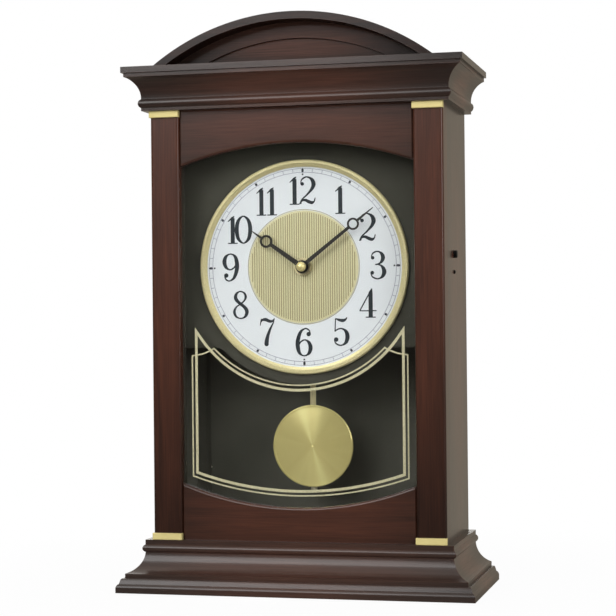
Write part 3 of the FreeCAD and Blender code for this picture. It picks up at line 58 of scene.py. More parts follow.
camera_data = bpy.data.cameras.new("photograph")
camera_data.sensor_width = camera_sensor
camera_data.lens = camera_lens
camera = stand("photograph", camera_data)
ahead = Vector((-math.sin(camera_bearing) * math.cos(camera_pitch),
                math.cos(camera_bearing) * math.cos(camera_pitch), math.sin(camera_pitch)))
level = Vector((math.cos(camera_bearing), math.sin(camera_bearing), 0.0))
upright = level.cross(ahead)
across = math.cos(camera_roll) * level + math.sin(camera_roll) * upright
upwards = -math.sin(camera_roll) * level + math.cos(camera_roll) * upright
camera_turn = Matrix((across, upwards, -ahead)).transposed().to_4x4()
camera.matrix_world = Matrix.Translation(camera_place) @ camera_turn
bpy.context.scene.camera = camera
bpy.context.scene.view_settings.view_transform = "Standard"

# The room: a white table and surround, seen as white, and a dim studio on the camera's side. The clock
# keeps a soft shadow on the table. A large soft lamp stands at the upper left, smaller ones at the
# right and behind.
plain_white = (1.0, 1.0, 1.0)
table_reach, table_near, table_fade = 6.0, 0.12, 0.45
table_white, table_share = (0.86, 0.86, 0.86), 0.96
soft_tone, soft_strength = (0.97, 0.985, 1.0), 0.4
mirror_tone, ceiling_tone = (1.0, 0.88, 0.70), (1.0, 0.98, 0.95)
mirror_front, mirror_back, mirror_top = 0.05, 0.40, 0.85
wall_rise, ceiling_rise, table_rise = (-0.55, 0.25), (0.3, 0.85), (-0.4, 0.3)


def fill(tree, made, feeds):
    """Fills a node's inputs: an output is linked, a plain value is written, and a colour gets its alpha."""
    for place, value in feeds.items():
        socket = made.inputs[place]
        if isinstance(value, bpy.types.NodeSocket):
            tree.links.new(value, socket)
        else:
            socket.default_value = (*value, 1.0) if socket.type == "RGBA" else value


def shade(tree, kind, feeds=None, **settings):
    """Adds one node to a tree, with its settings and with what its inputs take."""
    made = tree.nodes.new(kind)
    for name, value in settings.items():
        setattr(made, name, value)
    fill(tree, made, feeds or {})
    return made


def count(tree, operation, *values):
    """One sum of factors or numbers."""
    return shade(tree, "ShaderNodeMath", dict(enumerate(values)), operation=operation).outputs[0]


def span(tree, factor, low, high, to_low, to_high, soft=False):
    """Takes a factor from one span to another, held at the ends."""
    feeds = {"Value": factor, "From Min": low, "From Max": high, "To Min": to_low, "To Max": to_high}
    way = "SMOOTHSTEP" if soft else "LINEAR"
    return shade(tree, "ShaderNodeMapRange", feeds, interpolation_type=way).outputs[0]


def split(tree, whole):
    """The three parts of a vector, by their letters."""
    return shade(tree, "ShaderNodeSeparateXYZ", {0: whole}).outputs


def length(tree, whole):
    """How long a vector is."""
    return shade(tree, "ShaderNodeVectorMath", {0: whole}, operation="LENGTH").outputs["Value"]


def ray_shares(tree):
    """Two switches: a ray that comes straight or through clear glass, and one that gloss has turned back."""
    path = shade(tree, "ShaderNodeLightPath").outputs
    turned = count(tree, "MINIMUM", path["Is Transmission Ray"], path["Glossy Depth"])
    clear = count(tree, "SUBTRACT", path["Is Transmission Ray"], turned)
    straight = count(tree, "MAXIMUM", path["Is Camera Ray"], clear)
    return straight, count(tree, "MAXIMUM", path["Is Glossy Ray"], turned)


def dim_studio(tree, way, axis, rise, least, most):
    """How bright gloss sees the studio: it rises along one way, as from the dark front to the pale back."""
    return span(tree, split(tree, way)[axis], *rise, least, most, True)


def blend(tree, factor, first, second):
    """Two shaders mixed by a factor."""
    return shade(tree, "ShaderNodeMixShader", {0: factor, 1: first, 2: second}).outputs[0]


def glow(tree, kind, colour, strength=1.0):
    """Plain light of one colour, from the world's background or a surface's emission."""
    return shade(tree, "ShaderNode" + kind, {"Color": colour, "Strength": strength}).outputs[0]


def start_finish(name, **values):
    """A new finish: its tree and its shader. What is the same all over is set on the shader's sockets."""
    finish = bpy.data.materials.new(name)
    finish.use_nodes = True
    tree = finish.node_tree
    shader = tree.nodes["Principled BSDF"]
    fill(tree, shader, {label.replace("_", " "): value for label, value in values.items()})
    return finish, tree, shader


def hang_lamp(name, place, aim, size, power):
    """A square soft lamp, turned to face a point of the clock."""
    data = bpy.data.lights.new(name, "AREA")
    data.shape = "SQUARE"
    data.size = size
    data.energy = power
    turn = (Vector(aim) - Vector(place)).to_track_quat("-Z", "Y").to_matrix().to_4x4()
    stand(name, data).matrix_world = Matrix.Translation(place) @ turn


# The world is white where it is seen, and dim in front of the clock where it is only reflected.
world = bpy.data.worlds.new("studio")
bpy.context.scene.world = world
world.use_nodes = True
tree = world.node_tree
tree.nodes.clear()
way = shade(tree, "ShaderNodeTexCoord").outputs["Generated"]
walls = glow(tree, "Background", mirror_tone,
             dim_studio(tree, way, "Y", wall_rise, mirror_front, mirror_back))
ceiling = glow(tree, "Background", ceiling_tone, dim_studio(tree, way, "Z", ceiling_rise, 0.0, mirror_top))
studio = shade(tree, "ShaderNodeAddShader", {0: walls, 1: ceiling}).outputs[0]
straight, turned_back = ray_shares(tree)
unseen = blend(tree, turned_back, glow(tree, "Background", soft_tone, soft_strength), studio)
whole = blend(tree, straight, unseen, glow(tree, "Background", plain_white))
shade(tree, "ShaderNodeOutputWorld", {0: whole})

# Near the clock a part of the table's own shade shows; further off it is plain white.
corners = [(x * table_reach, y * table_reach, 0) for x, y in ((-1, -1), (1, -1), (1, 1), (-1, 1))]
mesh = bpy.data.meshes.new("table_top")
mesh.from_pydata(corners, [], [(0, 1, 2, 3)])
finish, tree, shader = start_finish("table_white", Base_Color=table_white, Roughness=0.9,
                                    Specular_IOR_Level=0.0)
place = shade(tree, "ShaderNodeTexCoord").outputs["Object"]
straight, turned_back = ray_shares(tree)
faded = span(tree, length(tree, place), table_near, table_fade, table_share, 1.0, True)
top = blend(tree, count(tree, "MULTIPLY", faded, straight), shader.outputs[0],
            glow(tree, "Emission", plain_white))
studio = glow(tree, "Emission", mirror_tone,
              dim_studio(tree, place, "Y", table_rise, mirror_front, mirror_back))
fill(tree, tree.nodes["Material Output"], {"Surface": blend(tree, turned_back, top, studio)})
mesh.materials.append(finish)
table = stand("table_top", mesh)

hang_lamp("lamp_upper_left", (-0.95, -2.1, 1.35), (0, 0, 0.24), 1.4, 29)
hang_lamp("lamp_right", (1.5, -1.25, 0.7), (0, 0, 0.2), 0.9, 12)
hang_lamp("lamp_behind", (-0.7, 2.1, 1.1), (0, 0, 0.2), 1.2, 16)

# Base mouldings: three lengths of stained hardwood, cut to one profile and mitred at the front corners.
# They are stained dark walnut, rubbed a little lighter along the edges, and lacquered to a satin gloss.
stain_dark, stain_body, stain_red = (0.014, 0.0060, 0.0042), (0.045, 0.0155, 0.0086), (0.115, 0.034, 0.017)
stain_worn, stain_painted_sheen = (0.10, 0.048, 0.030), (0.060, 0.048, 0.042)
stain_stops = ((0.05, stain_dark), (0.42, stain_body), (0.95, stain_red))
lacquer_gloss, lacquer_coat, lacquer_rough = 0.38, 0.34, 0.13
pore_size, pore_noise, pore_depth = (0.030, 0.00042, 0.00042), (3.0, 0.62, 0.15), 0.00004
figure_size, figure_noise = (0.11, 0.0075, 0.0075), (2.5, 0.5, 0.9)
figure_share, middle_share, middle_fade, warmth_drop = 0.55, 0.55, (0.25, 1.05), -0.12
streaks, wood_rough, wear = (0.34, 0.64, 0.64, 1.05), (0.34, 0.28), (0.4, 0.75, 0.1, 0.55)
edge_reach, edge_start, edge_full = 0.0011, 0.98, 0.80
least_half, next_board = 0.004, 0.037
grain_turn = {"x": (0, 0, 0), "y": (0, 0, math.pi / 2), "z": (0, math.pi / 2, 0)}
patches = (0.3, 0.7)


def spread(tree, size, centre=(0, 0, 0), turn=(0, 0, 0)):
    """The piece's own coordinates, counted from centre in steps of size."""
    place = shade(tree, "ShaderNodeTexCoord").outputs["Object"]
    steps = size if isinstance(size, tuple) else (size,) * 3
    feeds = {"Vector": place, "Location": centre, "Rotation": turn, "Scale": steps}
    return shade(tree, "ShaderNodeMapping", feeds, vector_type="TEXTURE").outputs[0]


def mottle(tree, place, detail, roughness, distortion=0.0):
    """Soft patches of noise, one step of the place across. Most of it lies between the two of patches."""
    feeds = {"Vector": place, "Scale": 1.0, "Detail": detail, "Roughness": roughness,
             "Distortion": distortion}
    return shade(tree, "ShaderNodeTexNoise", feeds).outputs["Fac"]


def tint(tree, factor, stops):
    """Colours along a factor: a list of place and colour."""
    ramp = shade(tree, "ShaderNodeValToRGB", {"Fac": factor})
    while len(ramp.color_ramp.elements) < len(stops):
        ramp.color_ramp.elements.new(0.5)
    for element, (place, colour) in zip(ramp.color_ramp.elements, stops):
        element.position = place
        element.color = (*colour, 1.0)
    return ramp.outputs["Color"]


def mingle(tree, factor, first, second, held=True):
    """Mixes two colours, or a colour with a plain one, by a factor that is held to 0 and 1 or not."""
    mix = shade(tree, "ShaderNodeMix", {"Factor": factor}, data_type="RGBA", clamp_factor=held)
    places = {socket.name: number for number, socket in enumerate(mix.inputs) if socket.type == "RGBA"}
    fill(tree, mix, {places["A"]: first, places["B"]: second})
    return [socket for socket in mix.outputs if socket.type == "RGBA"][0]


def relief(tree, shader, height, depth, strength=1.0, normal=None):
    """Raises the surface by a factor times depth, which is in metres."""
    bump = shade(tree, "ShaderNodeBump", {"Height": height, "Distance": depth, "Strength": strength})
    if normal:
        fill(tree, bump, {"Normal": normal})
    fill(tree, shader, {"Normal": bump.outputs["Normal"]})


def worn_edge(tree):
    """1 on a sharp edge, 0 on the flat: where a rounded normal leaves the true one."""
    rounded = shade(tree, "ShaderNodeBevel", {"Radius": edge_reach}, samples=4).outputs[0]
    true = shade(tree, "ShaderNodeNewGeometry").outputs["Normal"]
    dot = shade(tree, "ShaderNodeVectorMath", {0: rounded, 1: true}, operation="DOT_PRODUCT")
    return span(tree, dot.outputs["Value"], edge_start, edge_full, 0.0, 1.0)


def dress(name, finish):
    """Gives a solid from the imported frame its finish."""
    for slot in node[name].material_slots:
        slot.material = finish


def dress_wood(name, run, seed, wider=(1.0, 1.0, 1.0), lift=0.0, painted_sheen=0.05, gloss=1.0):
    """Walnut stain on a hardwood solid: pores along the run, a slow figure, redder in the middle of the
    piece's own length, where lift moves it up. Painted sheen is a greyer cast mixed into the colour, which
    stands for the reflection of the pale room on the lacquer."""
    low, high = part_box(name)
    middle, half = (low + high) / 2, [max(side, least_half) for side in (high - low) / 2]
    centre = (middle[0], middle[1], middle[2] + lift * half[2])
    finish, tree, shader = start_finish("stain_" + name, Specular_IOR_Level=lacquer_gloss * gloss,
                                        Coat_Weight=lacquer_coat * gloss, Coat_Roughness=lacquer_rough)
    shift = tuple(c + seed * next_board for c in centre)
    pores = mottle(tree, spread(tree, pore_size, shift, grain_turn[run]), *pore_noise)
    figure = mottle(tree, spread(tree, figure_size, shift, grain_turn[run]), *figure_noise)
    off = length(tree, spread(tree, tuple(h * w for h, w in zip(half, wider)), centre))
    redder = count(tree, "MULTIPLY", span(tree, off, *middle_fade, 1.0, 0.0, True), middle_share)
    warmth = count(tree, "ADD", count(tree, "MULTIPLY_ADD", figure, figure_share, warmth_drop), redder)
    stops = [(place, tuple(c * (1 - painted_sheen) + g * painted_sheen for c, g in zip(colour, stain_painted_sheen)))
             for place, colour in stain_stops]
    shaded = mingle(tree, span(tree, pores, *streaks), (0, 0, 0), tint(tree, warmth, stops), False)
    edge = count(tree, "MULTIPLY", worn_edge(tree), span(tree, figure, *wear))
    fill(tree, shader, {"Base Color": mingle(tree, edge, shaded, stain_worn),
                        "Roughness": span(tree, pores, *patches, *wood_rough)})
    relief(tree, shader, pores, pore_depth, 0.7)
    dress(name, finish)


# The mouldings get a greyer painted sheen, which stands for the reflection of the pale room in their coves.
dress_wood("base_moulding_front", "x", 1, (1.1, 4.0, 2.5), painted_sheen=0.36, gloss=0.85)
dress_wood("base_moulding_left", "y", 2, (4.0, 0.8, 2.5), painted_sheen=0.3)
dress_wood("base_moulding_right", "y", 3, (4.0, 0.8, 2.5), painted_sheen=0.1, gloss=0.7)

# Base board and back rail: a pressed board that the case stands on, and a rail that closes the base at
# the back between the mouldings. Both are glued in, stained thinly brown and left matt.
board_dark, board_body = (0.016, 0.010, 0.0075), (0.036, 0.022, 0.015)
fibre_size, fibre_noise, fibre_share, fibre_depth = (0.006, 0.0007, 0.0007), (3.0, 0.7), 0.6, 0.00008
board_clouds, board_rough, next_fibres, next_clouds = 0.03, (0.62, 0.8), 0.05, 0.03
cloud_noise = (2.0, 0.5)


def clouds(tree, size, centre=(0, 0, 0)):
    """Wide soft patches, by which a tone drifts."""
    return mottle(tree, spread(tree, size, centre), *cloud_noise)


def dress_board(name, run, seed):
    """Thin brown stain on a pressed board, with short fibres and no gloss."""
    finish, tree, shader = start_finish("stain_" + name, Specular_IOR_Level=0.25)
    place = spread(tree, fibre_size, (seed * next_fibres,) * 3, grain_turn[run])
    fibres = mottle(tree, place, *fibre_noise)
    drifting = clouds(tree, board_clouds, (seed * next_clouds,) * 3)
    tone = count(tree, "MULTIPLY_ADD", fibres, fibre_share, drifting)
    fill(tree, shader, {"Base Color": tint(tree, tone, [(0.1, board_dark), (0.8, board_body)]),
                        "Roughness": span(tree, fibres, *patches, *board_rough)})
    relief(tree, shader, fibres, fibre_depth, 0.6)
    dress(name, finish)


dress_board("base_board", "x", 1)
dress_board("base_back_rail", "x", 2)

# Felt pads: four discs cut from dark felt, glued under the mouldings so that they don't scratch the
# table. The felt is matt, with fine crossing fibres.
felt_dark, felt_pale = (0.006, 0.006, 0.006), (0.03, 0.03, 0.032)
felt_size, felt_noise, felt_depth = 0.0005, (4.0, 0.7, 1.5), 0.0002
finish, tree, shader = start_finish("felt_black", Roughness=0.95, Specular_IOR_Level=0.1, Sheen_Weight=0.5)
fibres = mottle(tree, spread(tree, felt_size), *felt_noise)
fill(tree, shader, {"Base Color": tint(tree, fibres, [(0.2, felt_dark), (0.8, felt_pale)])})
relief(tree, shader, fibres, felt_depth, 0.8)
dress("felt_pads", finish)

# Side panels: two hardwood boards that stand on the base with their grain upright, glued to it. They are
# stained and lacquered outside, and painted charcoal on the face towards the pendulum; this charcoal is
# made lighter than the dial board's, as painted light where the inside of the case lies in shade.
inner_face = 96.3
# Lighter than the dial board's charcoal: painted light for the shaded inside of the case.
painted_light_charcoal_dark, painted_light_charcoal_pale, paint_clouds = (0.085, 0.084, 0.066), (0.105, 0.103, 0.082), 0.04
dress_wood("side_panel_left", "z", 4, (9.0, 1.3, 1.2))
dress_wood("side_panel_right", "z", 5, (9.0, 1.3, 1.2))


def drift(tree, size, low, high):
    """A slow change between two colours, in clouds of a size."""
    return tint(tree, clouds(tree, size), [(patches[0], low), (patches[1], high)])


def paint_inside(name, axis, side, plane):
    """Charcoal paint on the face of a solid that lies beyond a plane, as the inside of the case has. It is
    lighter than the dial board's charcoal: painted light where the inside of the case lies in shade.
    """
    tree = node[name].material_slots[0].material.node_tree
    shader = tree.nodes["Principled BSDF"]
    inner = count(tree, side, split(tree, spread(tree, mm))[axis], plane)
    grain = shader.inputs["Base Color"].links[0].from_socket
    paint = drift(tree, paint_clouds, painted_light_charcoal_dark, painted_light_charcoal_pale)
    fill(tree, shader, {"Base Color": mingle(tree, inner, grain, paint)})


paint_inside("side_panel_left", "X", "GREATER_THAN", -inner_face)
paint_inside("side_panel_right", "X", "LESS_THAN", inner_face)

# Pilasters: solid hardwood uprights, glued over the front edges of the sides, with their long edges
# rounded over. They get no painted sheen, so that the red of the stain shows.
dress_wood("pilaster_left", "z", 6, (2.6, 6.0, 1.9), 0.5, 0.0, 0.7)
dress_wood("pilaster_right", "z", 7, (2.6, 6.0, 1.9), 0.6, 0.0, 0.8)

# Brass caps: four short bars of pale brass, pinned across the ends of the pilasters. Clear lacquer lies
# over the fine lines of the rolling.
brass_low, brass_high = (0.64, 0.53, 0.20), (0.76, 0.64, 0.27)
metal_clouds, fine_noise, lay_share, lay_depth = 0.012, (3.0, 0.6), 0.5, 0.000004


def rolled_metal(name, low, high, lay, roughness, metal=1.0):
    """Metal with fine lines along its lay, a slow change of tone and a rubbed gloss; lacquer dulls it."""
    finish, tree, shader = start_finish(name, Metallic=metal)
    lines = mottle(tree, spread(tree, lay), *fine_noise)
    tone = count(tree, "MULTIPLY_ADD", lines, lay_share, clouds(tree, metal_clouds))
    fill(tree, shader, {"Base Color": tint(tree, tone, [(0.2, low), (0.85, high)]),
                        "Roughness": span(tree, lines, *patches, roughness * 0.8, roughness * 1.25)})
    relief(tree, shader, lines, lay_depth, 0.6)
    return finish


dress("brass_caps", rolled_metal("cap_brass", brass_low, brass_high, (0.012, 0.0002, 0.0002), 0.5, 0.15))

# Rails: two hardwood boards glued between the pilasters, in front of the glass. The top rail has an
# arched lower edge, the bottom rail a sagging upper edge, and both are eased.
# The top rail gets some painted sheen, which stands for the reflection of the pale room.
dress_wood("top_rail", "x", 8, (1.7, 9.0, 2.6), painted_sheen=0.2, gloss=0.6)
dress_wood("bottom_rail", "x", 9, (1.6, 9.0, 2.6))

# Glass pane: clear sheet glass that sits on battens behind the rails. A border of a thick and a thin
# line is screen printed in gold on its back.
glass_back, print_depth = -29.0, 0.05
glass_tone, smear_size, smear_place = (0.985, 0.992, 0.988), 0.05, (0.3, 0.1, 0.2)
smear_noise, smear_rough = (3.0, 0.6, 0.5), (0.45, 0.8, 0.0, 0.035)
outline_thick, outline_thin, thick_gap, thin_gap, sharpest_mitre = 1.9, 1.0, 0.02, 0.01, 0.22
same_point = 1e-7
finish, tree, shader = start_finish("pane_glass", Base_Color=glass_tone, IOR=1.5, Transmission_Weight=1.0)
smears = mottle(tree, spread(tree, smear_size, smear_place), *smear_noise)
fill(tree, shader, {"Roughness": span(tree, smears, *smear_rough)})
shadow = shade(tree, "ShaderNodeLightPath").outputs["Is Shadow Ray"]
through = shade(tree, "ShaderNodeBsdfTransparent").outputs[0]
fill(tree, tree.nodes["Material Output"], {"Surface": blend(tree, shadow, shader.outputs[0], through)})
dress("glass_pane", finish)


def clean_shell(mesh):
    """Merges the doubles of a mesh and turns its faces outwards."""
    shell = bmesh.new()
    shell.from_mesh(mesh)
    bmesh.ops.remove_doubles(shell, verts=shell.verts, dist=same_point)
    bmesh.ops.recalc_face_normals(shell, faces=shell.faces)
    shell.to_mesh(mesh)
    shell.free()


def put_piece(name, mesh, finish, body):
    """Puts a mesh in the frame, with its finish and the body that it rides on."""
    mesh.name = name
    mesh.materials.clear()
    mesh.materials.append(finish)
    piece = stand(name, mesh)
    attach(piece, body)


def add_piece(name, points, faces, finish, body):
    """Makes a piece from points, which are in millimetres, and faces."""
    mesh = bpy.data.meshes.new(name)
    mesh.from_pydata([(x * mm, y * mm, z * mm) for x, y, z in points], [], faces)
    clean_shell(mesh)
    put_piece(name, mesh, finish, body)


def flecked(name, low, high, fleck, rough, depth=0.0, **values):
    """A print, paint or lacquer with a soft even grain, which its tone and its gloss follow."""
    finish, tree, shader = start_finish(name, **values)
    flecks = mottle(tree, spread(tree, fleck), *fine_noise)
    fill(tree, shader, {"Base Color": tint(tree, flecks, [(0.25, low), (0.75, high)]),
                        "Roughness": span(tree, flecks, *patches, *rough)})
    if depth:
        relief(tree, shader, flecks, depth, 0.5)
    return finish


def sagging_arc(start_x, centre_z, radius, steps):
    """Points of an arc that sags from a corner at x to the one opposite, without the two corners."""
    across = [start_x - 2 * start_x * i / steps for i in range(1, steps)]
    return [(x, centre_z - math.sqrt(radius ** 2 - x ** 2)) for x in across]


def line_ribbon(corners, width, front, back):
    """A flat closed ribbon along the corners, its mitres kept even, as points and faces."""
    total = len(corners)
    points, faces = [], []
    for i, (x, z) in enumerate(corners):
        before, after = corners[i - 1], corners[(i + 1) % total]
        first = Vector((x - before[0], z - before[1])).normalized()
        second = Vector((after[0] - x, after[1] - z)).normalized()
        side = Vector((-first[1] - second[1], first[0] + second[0])).normalized()
        reach = width / 2 / max(sharpest_mitre, side.dot(Vector((-first[1], first[0]))))
        for sign in (1, -1):
            for y in (front, back):
                points.append((x + side[0] * reach * sign, y, z + side[1] * reach * sign))
    for i in range(total):
        a, b = 4 * i, 4 * ((i + 1) % total)
        faces += [(a, a + 2, b + 2, b), (a + 1, b + 1, b + 3, a + 3)]
        faces += [(a, b, b + 1, a + 1), (a + 2, a + 3, b + 3, b + 2)]
    return points, faces


thick_corners = [(74.6, 183.7), (74.6, 83.9), *sagging_arc(74.6, 300.4, 229.0, 48),
                 (-74.6, 83.9), (-74.6, 183.7), *sagging_arc(-74.6, 229.3, 87.2, 60)]
thin_corners = [(77.6, 166.5), (77.6, 81.3), *sagging_arc(77.6, 305.7, 237.4, 48),
                (-77.6, 81.3), (-77.6, 166.5), (-70.5, 167.6), (-63.7, 170.1), (-61.6, 171.6),
                *sagging_arc(-61.6, 231.0, 85.5, 50), (61.6, 171.6), (63.7, 170.1), (70.5, 167.6)]
points, faces = [], []
for corners, width, gap in ((thick_corners, outline_thick, thick_gap),
                            (thin_corners, outline_thin, thin_gap)):
    ribbon, sides = line_ribbon(corners, width, glass_back + gap, glass_back + gap + print_depth)
    faces += [tuple(i + len(points) for i in side) for side in sides]
    points += ribbon
print_gold = flecked("print_gold", (0.50, 0.46, 0.27), (0.66, 0.62, 0.42), 0.0012, (0.38, 0.5),
                     Metallic=0.35, Specular_IOR_Level=0.4)
add_piece("glass_print", points, faces, print_gold, "case")

# Top board: the plain pressed board that closes the case under the cornice. It is glued on the sides,
# and stained thinly brown as the base board is.
dress_board("top_board", "x", 4)

# Cornice: a hollow hardwood moulding on three sides, mitred at the corners and glued to the case, under
# a flat slab with a square edge. Most of it gets a greyer painted sheen, which stands for the reflection of
# the pale room.
dress_wood("cornice_moulding_front", "x", 10, (0.9, 4.0, 2.5), painted_sheen=0.26, gloss=0.8)
dress_wood("cornice_moulding_left", "y", 11, (4.0, 0.8, 2.5), painted_sheen=0.3)
dress_wood("cornice_moulding_right", "y", 12, (4.0, 0.8, 2.5), painted_sheen=0.0, gloss=0.55)
dress_wood("cornice_slab", "x", 13, (0.95, 1.4, 6.0), painted_sheen=0.25)

# Pediment: a hardwood band bent to an arch, in front of a board whose field is cut back a little. Both
# stand on the slab and are glued to it.
# The board gets a greyer painted sheen, which stands for the reflection of the pale room; the arch gets none.
dress_wood("pediment_arch", "x", 14, (0.25, 1.0, 0.3), painted_sheen=0.0, gloss=0.5)
dress_wood("pediment_board", "x", 15, (0.9, 9.0, 1.3), painted_sheen=0.25, gloss=0.25)

# Dial board: a thin board painted charcoal, which closes the case behind the glass above the pendulum. The
# battens in the case's corners, which the rails, glass and board sit on, are painted with it.
charcoal_dark, charcoal_pale = (0.053, 0.052, 0.041), (0.065, 0.064, 0.050)
paint_stipple, paint_rough, paint_depth = (0.00025, *cloud_noise), (0.72, 0.78), 0.000002


def grained(name, low, high, wide, grain, rough, depth, strength=0.5, gloss=0.3):
    """A paint or plastic that drifts between two tones in wide clouds, under a fine grain, which is given
    as its size, detail and roughness."""
    finish, tree, shader = start_finish(name, Specular_IOR_Level=gloss)
    grains = mottle(tree, spread(tree, grain[0]), *grain[1:])
    fill(tree, shader, {"Base Color": drift(tree, wide, low, high),
                        "Roughness": span(tree, grains, *patches, *rough)})
    relief(tree, shader, grains, depth, strength)
    return finish


charcoal_paint = grained("charcoal_paint", charcoal_dark, charcoal_pale, paint_clouds, paint_stipple,
                         paint_rough, paint_depth, strength=0.2, gloss=0.1)
dress("dial_board", charcoal_paint)
dress("case_battens", charcoal_paint)

# Dial: a round aluminium plate printed matt white, which sits on the dial board, and on it a gilt centre
# disc stamped with fine upright ribs. The movement's bush goes through the middle of both.
dial_x, dial_z = 0.0, 228.7
plate_front, disc_front = -12.0, -12.4
disc_radius, rib_pitch, rib_width, rib_height = 38.6, 1.62, 0.62, 0.16
white_low, white_high, white_clouds = (0.70, 0.735, 0.76), (0.735, 0.765, 0.785), 0.05
white_grain, white_rough, white_depth = (0.0008, *fine_noise), (0.5, 0.6), 0.000006
gilt_depth = 0.000005
dress("dial_plate", grained("dial_white", white_low, white_high, white_clouds, white_grain, white_rough,
                            white_depth))


def gilt(name, low, high, roughness, fleck=0.0012, metal=0.45):
    """Satin gilt lacquer on aluminium."""
    rough = (roughness * 0.85, roughness * 1.15)
    return flecked(name, low, high, fleck, rough, gilt_depth, Metallic=metal, Specular_IOR_Level=0.5)


def vector(tree, **parts):
    """A vector put together from its parts; a part that isn't given is 0."""
    return shade(tree, "ShaderNodeCombineXYZ", parts).outputs[0]


def at(x, y, z):
    """A move to a place in millimetres."""
    return Matrix.Translation((x * mm, y * mm, z * mm))


def start_tree(name, inputs):
    """A geometry tree with named inputs of its own."""
    tree = bpy.data.node_groups.new(name, "GeometryNodeTree")
    for way in ("INPUT", "OUTPUT"):
        tree.interface.new_socket("Geometry", in_out=way, socket_type="NodeSocketGeometry")
    for label, kind in inputs.items():
        tree.interface.new_socket(label, in_out="INPUT", socket_type="NodeSocket" + kind)
    return tree, shade(tree, "NodeGroupInput").outputs


def run_tree(tree, made, values, finish, body, where):
    """Ends a geometry tree with its two last steps and runs it once. What it makes is kept as a plain mesh,
    which is put in its place."""
    whole = shade(tree, "GeometryNodeRealizeInstances", {0: made})
    coat = shade(tree, "GeometryNodeSetMaterial", {"Geometry": whole.outputs[0], "Material": finish})
    shade(tree, "NodeGroupOutput", {0: coat.outputs[0]})
    maker = stand(tree.name + "_maker", bpy.data.meshes.new(tree.name + "_maker"))
    step = maker.modifiers.new("maker", "NODES")
    step.node_group = tree
    for item in tree.interface.items_tree:
        if item.name in values:
            step[item.identifier] = values[item.name]
    view = bpy.context.evaluated_depsgraph_get()
    mesh = bpy.data.meshes.new_from_object(maker.evaluated_get(view))
    maker.modifiers.remove(step)
    bpy.data.objects.remove(maker)
    mesh.transform(where)
    put_piece(tree.name, mesh, finish, body)


# The ribs stand side by side on the disc, each as long as its chord.
dress("dial_centre_disc", gilt("disc_gilt", (0.62, 0.58, 0.35), (0.74, 0.70, 0.44), 0.42, 0.0006))
tree, given = start_tree("disc_ribs", {"radius": "Float", "pitch": "Float", "rib_width": "Float",
                                       "rib_height": "Float", "rib_count": "Int"})
half_way = count(tree, "MULTIPLY", count(tree, "SUBTRACT", 1.0, given["rib_count"]), 0.5)
start = vector(tree, X=count(tree, "MULTIPLY", half_way, given["pitch"]))
rows = shade(tree, "GeometryNodeMeshLine", {"Count": given["rib_count"], "Start Location": start,
                                            "Offset": vector(tree, X=given["pitch"])}, mode="OFFSET")
bar_size = vector(tree, X=given["rib_width"], Y=given["rib_height"], Z=1.0)
bar = shade(tree, "GeometryNodeMeshCube", {"Size": bar_size})
off = split(tree, shade(tree, "GeometryNodeInputPosition").outputs[0])["X"]
share = count(tree, "POWER", count(tree, "DIVIDE", off, given["radius"]), 2.0)
chord = count(tree, "MULTIPLY", count(tree, "SQRT", count(tree, "SUBTRACT", 1.0, share)), given["radius"])
ribs = shade(tree, "GeometryNodeInstanceOnPoints", {
    "Points": rows.outputs[0], "Instance": bar.outputs[0],
    "Scale": vector(tree, X=1.0, Y=1.0, Z=count(tree, "MULTIPLY", chord, 2.0))})
rib_gilt = gilt("rib_gilt", (0.27, 0.235, 0.11), (0.36, 0.32, 0.17), 0.40, 0.0005)
sizes = {"radius": disc_radius * mm, "pitch": rib_pitch * mm, "rib_width": rib_width * mm,
         "rib_height": rib_height * mm, "rib_count": int(2 * disc_radius / rib_pitch)}
run_tree(tree, ribs.outputs[0], sizes, rib_gilt, "case", at(dial_x, disc_front, dial_z))

# Minute track: two thin circles with a stroke at every minute, a square at the hours and a dot inside the
# quarters. They are screen printed on the plate, in slate and grey, as the disc's outline is in gold.
track_inner, track_outer, mark_radius, dot_radius = 67.0, 69.7, 68.35, 65.6
line_width, circle_sides = 0.3, 180
outline_radius, outline_width, outline_marks = 40.6, 0.45, 40.4
ink_fleck, ink_rough = 0.0009, (0.42, 0.55)
print_slate = flecked("print_slate", (0.010, 0.016, 0.021), (0.020, 0.029, 0.036), ink_fleck, ink_rough,
                      Specular_IOR_Level=0.3)
print_grey = flecked("print_grey", (0.17, 0.18, 0.26), (0.23, 0.24, 0.33), ink_fleck, ink_rough,
                     Specular_IOR_Level=0.3)
outline_gilt = gilt("outline_gilt", (0.34, 0.30, 0.15), (0.44, 0.39, 0.21), 0.42)


